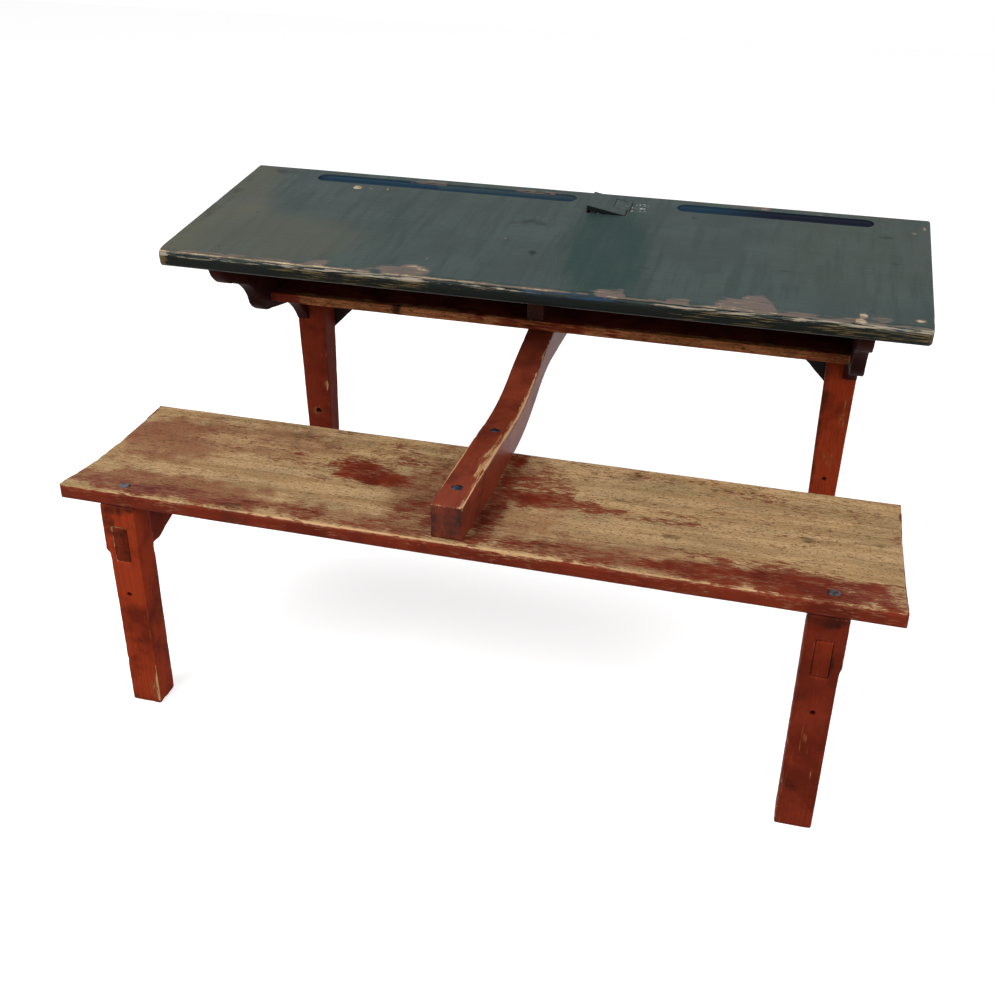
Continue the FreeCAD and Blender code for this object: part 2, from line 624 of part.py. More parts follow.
seat_screws = fasteners("seat_screws", SEAT_SCREW, [
    facing("up", f"{side} * bench_{side_name[side]}_x + seat_screw_shift", "seat_screw_y", "seat_screw_z")
    for side in both])
bolt_spots = (("bolt_front_y", "bolt_front_z"), ("bolt_back_y", "bolt_back_z"))
beam_bolts = group("beam_bolts", [
    turned(f"beam_bolts_{number}", bolt_profile(z), facing("up", "beam_x", y, z))
    for number, (y, z) in enumerate(bolt_spots, start=1)])
beam_washers = fasteners("beam_washers", [
    ("bolt_shank", "0"), ("washer_radius", "0"),
    ("washer_radius", "-washer_thick"), ("bolt_shank", "-washer_thick"),
], [facing("up", "beam_x", y, "seat_under") for y, _ in bolt_spots])


def square_nut(number, depth):
    """A square nut under its washer."""
    body = new_body(f"beam_nuts_{number}", facing("up", "beam_x", depth, "(seat_under - washer_thick)"))
    sketch = sketch_on(body, "XY_Plane")
    box_outline(sketch, "-nut_wide / 2", "nut_wide / 2", "-nut_wide / 2", "nut_wide / 2")
    circle(sketch, "0", "0", "bolt_shank")
    pad(body, sketch, "nut_thick", backwards=True)
    return body


beam_nuts = group("beam_nuts", [square_nut(number, y) for number, (y, _) in enumerate(bolt_spots, start=1)])

SCREW_V = [f"(hinge_v + hinge_long / 2 {sign} leaf_screw_apart / 2)" for sign in "-+"]
fixed_leaf_screws = fasteners("fixed_leaf_screws", LEAF_SCREW, [
    f"{HINGE_FRAME} * {frame('leaf_screw_fixed', v, '-hinge_rise')}" for v in SCREW_V])
moving_leaf_screws = fasteners("moving_leaf_screws", LEAF_SCREW, [
    f"{FLAP_FRAME} * {frame('-leaf_screw_moving', v, '-hinge_rise')}" for v in SCREW_V])


def cut_corner(body, side, x_end, y_end, inward, radius, height):
    """Round one corner of a board in plan, working down from a height."""
    sketch = sketch_on(body, "XY_Plane", f"{height} + cut_over")
    x_edge = f"{side} * ({x_end})"
    x_in = f"{side} * ({x_end} - {radius})"
    y_in = f"({y_end} + {inward} * {radius})"
    outline(sketch, [(x_edge, y_end), (x_in, y_end, radius, -side * inward), (x_edge, y_in)])
    pocket(body, sketch)


# Writing top
def make_top():
    """The sloping board with its nosing, pen grooves, flap rebate and hinge recess."""
    body = new_body("desk_top_blank", TOP_FRAME)
    section = sketch_on(body, "YZ_Plane")
    outline(section, [
        ("top_nose", "0"), ("top_depth - top_edge", "0", "top_edge", 1),
        ("top_depth", "-top_edge"), ("top_depth", "top_edge - top_thick", "top_edge", 1),
        ("top_depth - top_edge", "-top_thick"), ("top_nose", "-top_thick", "top_nose", 1),
        ("0", "top_nose - top_thick"), ("0", "-top_nose", "top_nose", 1),
    ])
    pad(body, section, "desk_width", both_ways=True)
    for side in both:
        cut_corner(body, side, "desk_width / 2", "0", 1, "top_corner_front", "0")
        cut_corner(body, side, "desk_width / 2", "top_depth", -1, "top_corner_back", "0")
    for x_from, x_to in (("groove_left_from", "groove_left_to"), ("groove_right_from", "groove_right_to")):
        groove = sketch_on(body, "XY_Plane")
        soft_outline(groove, x_from, x_to, "groove_front_v", "groove_back_v", "groove_end")
        pocket(body, groove, "groove_deep")
    floor = -value("groove_deep")
    fillet(body, "groove_round", lambda edge: abs(edge.BoundBox.ZMax - floor) < NEAR
           and abs(edge.BoundBox.ZMin - floor) < NEAR)
    rebate = sketch_on(body, "XY_Plane")
    box_outline(rebate, "flap_left - flap_gap", "hinge_x + flap_seam", "flap_v - flap_gap",
                "flap_v + flap_long + flap_gap")
    pocket(body, rebate, "rebate_deep")
    recess = sketch_on(body, "XY_Plane")
    box_outline(recess, "hinge_x", "hinge_x + leaf_fixed_wide", "hinge_v", "hinge_end_v")
    pocket(body, recess, "leaf_thick")
    notch = sketch_on(body, "XY_Plane")
    box_outline(notch, "hinge_x", "hinge_x + knuckle_room", "hinge_v", "hinge_end_v")
    pocket(body, notch, "knuckle_room - hinge_rise")
    hole = sketch_on(body, "XY_Plane")
    circle(hole, "pot_x", "pot_v", "pot_hole")
    pocket(body, hole)
    return body


desk_top = drilled("desk_top", make_top(), top_nails, fixed_leaf_screws)


def make_flap():
    """The inkwell flap, drawn in the frame of its hinge."""
    body = new_body("inkwell_flap_blank", FLAP_FRAME)
    plan = sketch_on(body, "XY_Plane", "-hinge_rise")
    box_outline(plan, "-flap_wide", "-flap_seam", "flap_v", "flap_v + flap_long")
    pad(body, plan, "flap_thick", backwards=True)
    level = -value("hinge_rise")
    seam = -value("flap_seam")
    fillet(body, "flap_round", lambda edge: edge.BoundBox.ZMin > level - NEAR
           and edge.BoundBox.XMin < seam - NEAR)
    recess = sketch_on(body, "XY_Plane", "-hinge_rise")
    box_outline(recess, "-leaf_moving_wide", "0", "hinge_v", "hinge_end_v")
    pocket(body, recess, "leaf_thick")
    notch = sketch_on(body, "XY_Plane", "-hinge_rise")
    box_outline(notch, "-knuckle_room", "0", "hinge_v", "hinge_end_v")
    pocket(body, notch, "knuckle_room - hinge_rise")
    return body


inkwell_flap = drilled("inkwell_flap", make_flap(), moving_leaf_screws)


def make_leaf(name, placement, plate, knuckles, bore):
    """A hinge leaf: its plate, its knuckles and the bore for the pin."""
    body = new_body(name, placement)
    plan = sketch_on(body, "XY_Plane", "-hinge_rise")
    outline(plan, plate)
    pad(body, plan, "leaf_thick", backwards=True)
    for v_from, v_to in knuckles:
        ring = sketch_on(body, "XZ_Plane", f"-({v_from})")
        circle(ring, "0", "0", "knuckle_radius")
        pad(body, ring, f"({v_to}) - ({v_from})", backwards=True)
    core = sketch_on(body, "XZ_Plane")
    circle(core, "0", "0", bore)
    pocket(body, core, both_ways=True)
    return body


fixed_plate = [
    ("knuckle_room", "hinge_v"), ("leaf_fixed_wide", "hinge_v"),
    ("leaf_fixed_wide", "hinge_end_v"), ("knuckle_room", "hinge_end_v"),
    ("knuckle_room", "knuckle_to"), ("0", "knuckle_to"),
    ("0", "knuckle_from"), ("knuckle_room", "knuckle_from"),
]
fixed_leaf = drilled(
    "flap_hinge_fixed_leaf",
    make_leaf("flap_hinge_fixed_leaf_blank", HINGE_FRAME, fixed_plate,
              [("knuckle_from", "knuckle_to")], "pin_radius"),
    fixed_leaf_screws)

moving_plate = [
    ("0", "hinge_v"), ("0", "gap_from"),
    ("-knuckle_room", "gap_from"), ("-knuckle_room", "gap_to"), ("0", "gap_to"),
    ("0", "hinge_end_v"), ("-leaf_moving_wide", "hinge_end_v"), ("-leaf_moving_wide", "hinge_v"),
]
moving_leaf = drilled(
    "flap_hinge_moving_leaf",
    make_leaf("flap_hinge_moving_leaf_blank", FLAP_FRAME, moving_plate,
              [("hinge_v", "gap_from"), ("gap_to", "hinge_end_v")], "pin_radius + pin_clear"),
    moving_leaf_screws)
hinge_pin = turned("flap_hinge_pin", [
    ("0", "0"), ("pin_radius", "0"), ("pin_radius", "hinge_long"), ("0", "hinge_long"),
], f"{HINGE_FRAME} * {frame('0', 'hinge_v', '0', '1; 0; 0', '-90')}")

ink_pot = turned("ink_pot", [
    ("0", "-pot_tall"), ("pot_out - pot_foot", "-pot_tall"), ("pot_out", "pot_foot - pot_tall"),
    ("pot_out", "0"), ("pot_rim", "0"), ("pot_rim", "pot_rim_thick"), ("pot_in", "pot_rim_thick"),
    ("pot_in", "pot_floor + pot_foot - pot_tall"), ("pot_in - pot_foot", "pot_floor - pot_tall"),
    ("0", "pot_floor - pot_tall"),
], f"{TOP_FRAME} * {frame("pot_x", "pot_v", f'-rebate_deep')}")


# Book box
end_profile = [
    ("end_front_y", under_top("end_front_y"),
     bow_radius("end_front_y", under_top("end_front_y"), "lobe_one_y", "lobe_one_z", "lobe_one_bow"), -1),
    ("lobe_one_y", "lobe_one_z"),
    ("cove_y", "cove_z", bow_radius("cove_y", "cove_z", "lobe_two_y", "lobe_two_z", "cove_bow"), 1),
    ("lobe_two_y", "lobe_two_z",
     bow_radius("lobe_two_y", "lobe_two_z", "run_y", "run_z", "lobe_two_bow"), -1),
    ("run_y", "run_z"),
    ("run_end_y", "run_end_z",
     bow_radius("run_end_y", "run_end_z", "leg_front_y", "lap_z", "foot_cove_bow"), 1),
    ("leg_front_y", "lap_z"),
    ("box_back_y", "lap_z"),
    ("box_back_y", under_top("box_back_y")),
]


def make_end_board(side, sign):
    """A shaped end board between the top and the leg."""
    inner = "end_in" if sign > 0 else "-end_out"
    body = new_body(f"{side}_end_board_blank", from_box(inner))
    sketch = sketch_on(body, "YZ_Plane")
    outline(sketch, end_profile)
    pad(body, sketch, "end_thick")
    return drilled(f"{side}_end_board", body, top_nails, shelf_nails, end_board_screws, back_board_nails)


end_boards = left_and_right(make_end_board)


def make_shelf():
    """The book shelf with softened front edges."""
    body = new_body("book_shelf_blank", from_box())
    sketch = sketch_on(body, "YZ_Plane")
    box_outline(sketch, "shelf_front_y", "box_back_y", "shelf_under", "shelf_z")
    pad(body, sketch, "2 * end_in", both_ways=True)
    front = value("shelf_front_y")
    fillet(body, "shelf_round", lambda edge: edge.BoundBox.YMax < front + NEAR
           and edge.BoundBox.XLength > NEAR)
    return drilled("book_shelf", body, shelf_nails, beam_shelf_screws, back_board_nails)


def make_divider():
    """The upright that parts the two book spaces."""
    body = new_body("centre_divider_blank", from_bench("divider_x"))
    sketch = sketch_on(body, "YZ_Plane")
    front = "divider_front_y"
    outline(sketch, [
        (front, "shelf_z"), ("box_back_y", "shelf_z"), ("box_back_y", under_top("box_back_y")),
        (front, under_top(front)),
    ])
    pad(body, sketch, "divider_thick", both_ways=True)
    return drilled("centre_divider", body, beam_shelf_screws, back_board_nails)


def make_back_board():
    """The board that closes the book box behind."""
    body = new_body("back_board_blank", from_box())
    sketch = sketch_on(body, "YZ_Plane")
    outline(sketch, [
        ("box_back_y", "back_z"), ("back_face_y", "back_z"), ("back_face_y", under_top("back_face_y")),
        ("box_back_y", under_top("box_back_y")),
    ])
    pad(body, sketch, "2 * end_out", both_ways=True)
    return drilled("back_board", body, back_board_nails)


book_box = end_boards + [make_shelf(), make_divider(), make_back_board()]


# Desk legs
def make_desk_leg(side, sign):
    """A tapered leg with a tongue up to the shelf and a half lap for the end board."""
    body = new_body(f"{side}_desk_leg_blank", from_box(f"{sign} * leg_x"))
    foot = sketch_on(body, "XY_Plane")
    box_outline(foot, "-leg_foot_wide / 2", "leg_foot_wide / 2", "box_back_y - leg_foot_deep", "box_back_y")
    head = sketch_on(body, "XY_Plane", "leg_head_z")
    box_outline(head, "-leg_head_wide / 2", "leg_head_wide / 2", "leg_front_y", "box_back_y")
    taper = body.newObject("PartDesign::AdditiveLoft", f"{body.Name}_taper")
    taper.Profile = foot
    taper.Sections = [head]
    taper.Ruled = True
    doc.recompute()
    tongue = sketch_on(body, "XY_Plane", "leg_head_z")
    box_outline(tongue, "-leg_head_wide / 2", "leg_head_wide / 2", "leg_front_y", "box_back_y")
    pad(body, tongue, "shelf_under - leg_head_z")
    lap = sketch_on(body, "XZ_Plane")
    lap_from = f"{sign} * (end_in - leg_x)"
    lap_to = f"{sign} * leg_head_wide"
    box_outline(lap, lap_from, lap_to, "lap_z", "shelf_z")
    pocket(body, lap, both_ways=True)
    bore = sketch_on(body, "XZ_Plane")
    circle(bore, "0", f"rail_hole_{side}_z", f"rail_hole_{side}")
    pocket(body, bore, both_ways=True)
    return drilled(f"{side}_desk_leg", body, end_board_screws, gusset_screws)


def make_gusset(side, sign):
    """A corner piece under the back board and behind the leg."""
    body = new_body(f"{side}_corner_gusset_blank", frame("box_x", "box_back_y + bench_front_y", "0"))
    sketch = sketch_on(body, "XZ_Plane")
    outline(sketch, [
        (f"{sign} * gusset_x", "back_z"), (f"{sign} * (gusset_x - gusset_leg)", "back_z"),
        (f"{sign} * gusset_x", "back_z - gusset_leg"),
    ])
    pad(body, sketch, "back_thick", backwards=True)
    return drilled(f"{side}_corner_gusset", body, gusset_screws)


desk_legs = left_and_right(make_desk_leg)
gussets = left_and_right(make_gusset)

# The dish is one line of places shared by the seat's upper face and the beam's underside.
dish_front_radius = level_radius("dish_low_y - dish_front_y", "dish_deep")
dish_back_radius = level_radius("dish_back_y - dish_low_y", "seat_back_z - dish_low_z")


def make_beam():
    """The S-shaped beam, scribed to the dished seat and let under the shelf."""
    body = new_body("centre_beam_blank", from_bench("beam_x"))
    sketch = sketch_on(body, "YZ_Plane")
    outline(sketch, [
        ("beam_front_y", "seat_z"),
        ("dish_front_y", "seat_z", dish_front_radius, -1),
        ("dish_low_y", "dish_low_z", dish_back_radius, -1),
        ("dish_back_y", "seat_back_z"),
        ("beam_heel_y", "beam_heel_z",
         bow_radius("beam_heel_y", "beam_heel_z", "beam_turn_y", "beam_turn_z", "beam_under_bow"), -1),
        ("beam_turn_y", "beam_turn_z",
         level_radius("beam_flat_y - beam_turn_y", "beam_flat_z - beam_turn_z"), 1),
        ("beam_flat_y", "beam_flat_z"),
        ("box_back_y", "beam_flat_z"),
        ("box_back_y", "shelf_under"),
        ("beam_shelf_y", "shelf_under",
         bow_radius("beam_shelf_y", "shelf_under", "beam_rise_y", "beam_rise_z", "beam_swell"), -1),
        ("beam_rise_y", "beam_rise_z",
         bow_radius("beam_rise_y", "beam_rise_z", "beam_dip_y", "beam_dip_z", "beam_hollow"), 1),
        ("beam_dip_y", "beam_dip_z",
         bow_radius("beam_dip_y", "beam_dip_z", "beam_front_y", "beam_front_z", "beam_crown"), -1),
        ("beam_front_y", "beam_front_z"),
    ])
    pad(body, sketch, "beam_wide", both_ways=True)
    return drilled("centre_beam", body, beam_bolts, beam_shelf_screws)


centre_beam = make_beam()


# Bench
def make_seat():
    """The dished plank, a little shorter along its back edge."""
    body = new_body("bench_seat_blank", from_bench())
    sketch = sketch_on(body, "YZ_Plane")
    outline(sketch, [
        ("seat_nose", "seat_z"), ("dish_front_y", "seat_z", dish_front_radius, -1),
        ("dish_low_y", "dish_low_z", dish_back_radius, -1),
        ("dish_back_y", "seat_back_z", "seat_edge", 1), ("seat_deep", "seat_back_z - seat_edge"),
        ("seat_deep", "seat_under"), ("seat_edge", "seat_under", "seat_edge", 1),
        ("0", "seat_under + seat_edge"), ("0", "seat_z - seat_nose", "seat_nose", 1),
    ])
    pad(body, sketch, "desk_width", both_ways=True)
    for side in both:
        wedge = sketch_on(body, "XY_Plane", "seat_z + cut_over")
        outline(wedge, [
            (f"{side} * (desk_width / 2)", "0"),
            (f"{side} * (desk_width / 2 + cut_over)", "seat_deep + cut_over"),
            (f"{side} * (desk_width / 2 - seat_narrow)", "seat_deep + cut_over"),
        ])
        pocket(body, wedge)
        cut_corner(body, side, "desk_width / 2", "0", 1, "seat_corner", "seat_z")
        cut_corner(body, side, "desk_width / 2 - seat_narrow", "seat_deep", -1, "seat_corner", "seat_z")
    return drilled("bench_seat", body, beam_bolts, seat_screws)


def make_bench_leg(side, sign):
    """A bench leg with a stepped outer face, a through mortise and a rail hole."""
    step = f"bench_step_{side}"
    out = "bench_leg_wide / 2"
    body = new_body(f"{side}_bench_leg_blank", from_bench(f"{sign} * bench_{side}_x"))
    sketch = sketch_on(body, "XZ_Plane")
    ogee = level_radius("bench_step_tall / 2", f"{step} / 2")
    middle_z = "(bench_step_z - bench_step_tall / 2)"
    outline(sketch, [
        (f"{-sign} * {out}", "seat_under"),
        (f"{sign} * {out}", "seat_under"),
        (f"{sign} * {out}", "bench_step_z", ogee, sign),
        (f"{sign} * ({out} - {step} / 2)", middle_z, ogee, -sign),
        (f"{sign} * ({out} - {step})", "(bench_step_z - bench_step_tall)"),
        (f"{sign} * ({out} - {step})", "0"),
        (f"{-sign} * {out}", "0"),
    ])
    pad(body, sketch, "bench_leg_deep", backwards=True)
    mortise = sketch_on(body, "XZ_Plane")
    box_outline(mortise, "-bearer_thick / 2", "bearer_thick / 2", "tenon_low_z", "tenon_high_z")
    pocket(body, mortise, both_ways=True)
    bore = sketch_on(body, "XZ_Plane")
    circle(bore, "0", "rail_hole_bench_z", "rail_hole_bench")
    pocket(body, bore, both_ways=True)
    return drilled(f"{side}_bench_leg", body, seat_screws)


def make_bearer(side, sign):
    """A seat bearer with its tenon through the leg."""
    body = new_body(f"{side}_seat_bearer", from_bench(f"{sign} * bench_{side}_x"))
    sketch = sketch_on(body, "YZ_Plane")
    outline(sketch, [
        ("0", "tenon_low_z"), ("bench_leg_deep", "tenon_low_z"), ("bench_leg_deep", "bearer_z"),
        ("bearer_rise_y", "bearer_z"), ("bearer_end_y", "bearer_end_z"), ("bearer_end_y", "seat_under"),
        ("bench_leg_deep", "seat_under"), ("bench_leg_deep", "tenon_high_z"), ("0", "tenon_high_z"),
    ])
    pad(body, sketch, "bearer_thick", both_ways=True)
    return body


bench_seat = make_seat()
bench_legs = left_and_right(make_bench_leg)
bearers = left_and_right(make_bearer)

NODES = [
    desk_top, inkwell_flap, fixed_leaf, moving_leaf, hinge_pin, fixed_leaf_screws, moving_leaf_screws,
    ink_pot,
    *book_box, *desk_legs, *gussets, centre_beam, bench_seat, *bench_legs, *bearers,
    beam_bolts, beam_washers, beam_nuts, seat_screws, beam_shelf_screws, end_board_screws, shelf_nails,
    back_board_nails, gusset_screws, top_nails,
]
doc.recompute()
for item in doc.Objects:
    if "Invalid" in item.State or "Error" in item.State:
        raise RuntimeError(f"{item.Label} did not build: {item.State}")
os.makedirs("parts", exist_ok=True)
for node in NODES:
    if node.Shape.isNull() or not node.Shape.isValid():
        raise RuntimeError(f"{node.Label} has no sound shape")
    node.Shape.exportStep(f"parts/{node.Label}.step")
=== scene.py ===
"""Looks of a two-seat school desk: worn paint over pine, dull steel and a glazed ink pot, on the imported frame."""

import logging
import math
from collections.abc import Iterable
from dataclasses import dataclass, field, replace
from enum import Enum

import bmesh
import bpy
import numpy as np
from mathutils import Matrix, Vector, kdtree, noise

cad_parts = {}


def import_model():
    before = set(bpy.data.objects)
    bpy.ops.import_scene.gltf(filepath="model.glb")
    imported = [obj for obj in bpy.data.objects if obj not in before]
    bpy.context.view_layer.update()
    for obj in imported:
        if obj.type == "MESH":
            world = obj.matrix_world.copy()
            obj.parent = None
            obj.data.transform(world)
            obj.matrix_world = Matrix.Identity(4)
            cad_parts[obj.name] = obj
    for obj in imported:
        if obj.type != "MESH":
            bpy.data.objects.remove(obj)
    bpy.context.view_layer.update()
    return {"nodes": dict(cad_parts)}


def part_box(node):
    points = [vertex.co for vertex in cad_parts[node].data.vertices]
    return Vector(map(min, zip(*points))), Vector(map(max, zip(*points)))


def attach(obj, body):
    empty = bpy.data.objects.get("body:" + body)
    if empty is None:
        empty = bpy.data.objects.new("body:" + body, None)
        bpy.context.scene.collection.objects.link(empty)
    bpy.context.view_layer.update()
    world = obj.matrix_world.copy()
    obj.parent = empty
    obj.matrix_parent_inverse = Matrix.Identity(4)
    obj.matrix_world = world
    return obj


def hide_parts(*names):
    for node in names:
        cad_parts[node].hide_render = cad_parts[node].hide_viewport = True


LOG = logging.getLogger("school_desk")
MM = 0.001

Tree = bpy.types.NodeTree
Socket = bpy.types.NodeSocket
Material = bpy.types.Material
Piece = bpy.types.Object
Nodes = dict[str, Piece]
Mesh = bmesh.types.BMesh

# Image of the photograph, whose width the camera's lens is given for.
IMAGE_WIDTH_PX = 994
SENSOR_MM = 36.0

# A patch holds fully inside this share of its half-sizes and is gone outside the other. Its outline is ragged.
PATCH_FULL = 0.5
PATCH_GONE = 1.25
RAGGED_MM = 22.0
RAGGED_SHARE = 0.45

# Edges sharper than this are arrises, and facets flatter than this are one face.
ARRIS_ANGLE_DEG = 35.0
FACET_ANGLE_DEG = 0.4
# Rims of nail holes have facets shorter than this, on walls no deeper than a board is thick.
RIM_FACET_MM = 2.9
RIM_DEPTH_MM = 100.0
ARRIS_STEP_MM = 2.0
SHARP_DEG = 32.0
# A rounded arris needs faces this many times as wide as its rounding.
ROUNDING_ROOM = 2.2
# A board's mesh has no line nearer to its ends than this share of a cell.
LINE_MARGIN = 0.3
# Points this near to each other are one, and points this near to a cut lie on it, in metres.
SAME_POINT_M = 1e-6
ON_CUT_M = 1e-7
# Knocks begin where their pattern passes this value, and deepen at this rate.
KNOCK_FROM = 0.15
KNOCK_GAIN = 2.0
# A face leans to a side, or looks straight at it, where its normal passes these shares.
LEANING = 0.3
SQUARE_ON = 0.6
# Distances are taken as at least this where they are divided by.
LEAST_MM = 0.1


class Grain(Enum):
    """Way the fibres of a board run."""

    ALONG_X = (True, False, False)
    ALONG_Y = (False, True, False)
    ALONG_Z = (False, False, True)

    def scale(self, along_mm: float, across_mm: float) -> tuple[float, ...]:
        """Return the scale that makes a pattern's cell this long with the fibres and this wide across them."""
        return tuple(1.0 / (MM * (along_mm if with_it else across_mm)) for with_it in self.value)


class Body(Enum):
    """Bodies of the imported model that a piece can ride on."""

    DESK = "desk"
    FLAP = "flap"


class Slot(Enum):
    """Material slots of the record."""

    GREEN = "green_paint"
    RED = "red_paint"
    MAROON = "dark_red_paint"
    PINE = "worn_pine"


def linear(colour: str) -> tuple[float, float, float, float]:
    """Turn an sRGB hex colour into linear red, green, blue and alpha.

    Args:
        colour: six hex digits after a hash mark.

    Returns:
        The colour as Blender's sockets take it.
    """
    parts = [int(colour[at : at + 2], 16) / 255 for at in (1, 3, 5)]
    red, green, blue = [p / 12.92 if p <= 0.04045 else ((p + 0.055) / 1.055) ** 2.4 for p in parts]
    return red, green, blue, 1.0


def add_node(tree: Tree, kind: str, inputs: dict | None = None, out: int | str = 0, **settings) -> Socket | None:
    """Add a node with its settings and links.

    Args:
        tree: node tree that takes it.
        kind: type name of the node.
        inputs: socket name or number, with the value or the socket that feeds it.
        out: name or number of the output that is handed back.
        settings: attributes of the node itself.

    Returns:
        One output of the new node, or nothing where it has none.
    """
    node = tree.nodes.new(kind)
    for name, setting in settings.items():
        setattr(node, name, setting)
    for name, source in (inputs or {}).items():
        if isinstance(source, Socket):
            tree.links.new(source, node.inputs[name])
        else:
            node.inputs[name].default_value = source
    return node.outputs[out] if node.outputs else None


def new_tree(name: str) -> tuple[Material, Tree]:
    """Make an empty material.

    Args:
        name: name of the finish.

    Returns:
        The material and its node tree.
    """
    material = bpy.data.materials.new(name)
    material.use_nodes = True
    material.node_tree.nodes.clear()
    return material, material.node_tree


def speckle(tree: Tree, scale: tuple[float, ...], detail: float = 3.0) -> Socket:
    """Lay a cloudy pattern on a piece, in the piece's own metres.

    Args:
        tree: node tree that takes it.
        scale: cells to the metre along x, y and z.
        detail: octaves of finer pattern.

    Returns:
        A socket that runs from nought to one, mostly near the middle.
    """
    place = add_node(tree, "ShaderNodeTexCoord", out="Object")
    place = add_node(tree, "ShaderNodeMapping", {"Vector": place, "Scale": scale})
    return add_node(
        tree, "ShaderNodeTexNoise", {"Vector": place, "Scale": 1.0, "Detail": detail, "Roughness": 0.6}, out="Fac"
    )


def even(size_mm: float) -> tuple[float, float, float]:
    """Return the scale of a pattern with cells of this size each way."""
    return (1.0 / (MM * size_mm),) * 3


def lay(tree: Tree, colour: Socket | str, *layers: tuple) -> Socket:
    """Lay colours over a first one, each where a pattern stands high.

    Args:
        tree: node tree that takes them.
        colour: lowest colour, a socket or six hex digits after a hash mark.
        layers: for each colour, the colour itself, the pattern that decides (a socket, or the name of a value that the
            mesh carries at its points), the values of the pattern where it begins to show and where it shows most,
            and its share there, which is one where it is left out.

    Returns:
        The mixed colour.
    """
    for over, pattern, low, high, *most in layers:
        if isinstance(pattern, str):
            pattern = add_up(tree, ((pattern, 1.0),))
        share = add_node(
            tree,
            "ShaderNodeMapRange",
            {"Value": pattern, "From Min": low, "From Max": high, "To Max": most[0] if most else 1.0},
            interpolation_type="SMOOTHSTEP",
        )
        under, over = (linear(paint) if isinstance(paint, str) else paint for paint in (colour, over))
        colour = add_node(tree, "ShaderNodeMix", {0: share, 6: under, 7: over}, out=2, data_type="RGBA")
    return colour


def add_up(tree: Tree, parts: Iterable[tuple[Socket | str, float]], start: float = 0.0) -> Socket:
    """Add patterns up.

    Args:
        tree: node tree that takes the sum.
        parts: patterns, or names of values that the mesh carries at its points, each with its weight.
        start: value that the sum begins with.

    Returns:
        The sum.
    """
    total = start
    for source, weight in parts:
        if isinstance(source, str):
            source = add_node(tree, "ShaderNodeAttribute", out="Fac", attribute_name=source)
        total = add_node(tree, "ShaderNodeMath", {0: source, 1: weight, 2: total}, operation="MULTIPLY_ADD")
    return total


def ramp(values: np.ndarray, start: float, end: float) -> np.ndarray:
    """Return nought up to the start, rising to one at the end."""
    return np.clip((values - start) / (end - start), 0.0, 1.0)


@dataclass(frozen=True)
class Finish:
    """A surface finish, which makes the material of its name."""

    name: str

    def inputs(self, tree: Tree) -> dict[str, Socket | float]:
        """Return what the shader's sockets take."""
        raise NotImplementedError

    def material(self) -> Material:
        """Build the finish.

        Returns:
            Its material.
        """
        material, tree = new_tree(self.name)
        shader = add_node(tree, "ShaderNodeBsdfPrincipled", self.inputs(tree))
        add_node(tree, "ShaderNodeOutputMaterial", {"Surface": shader})
        return material


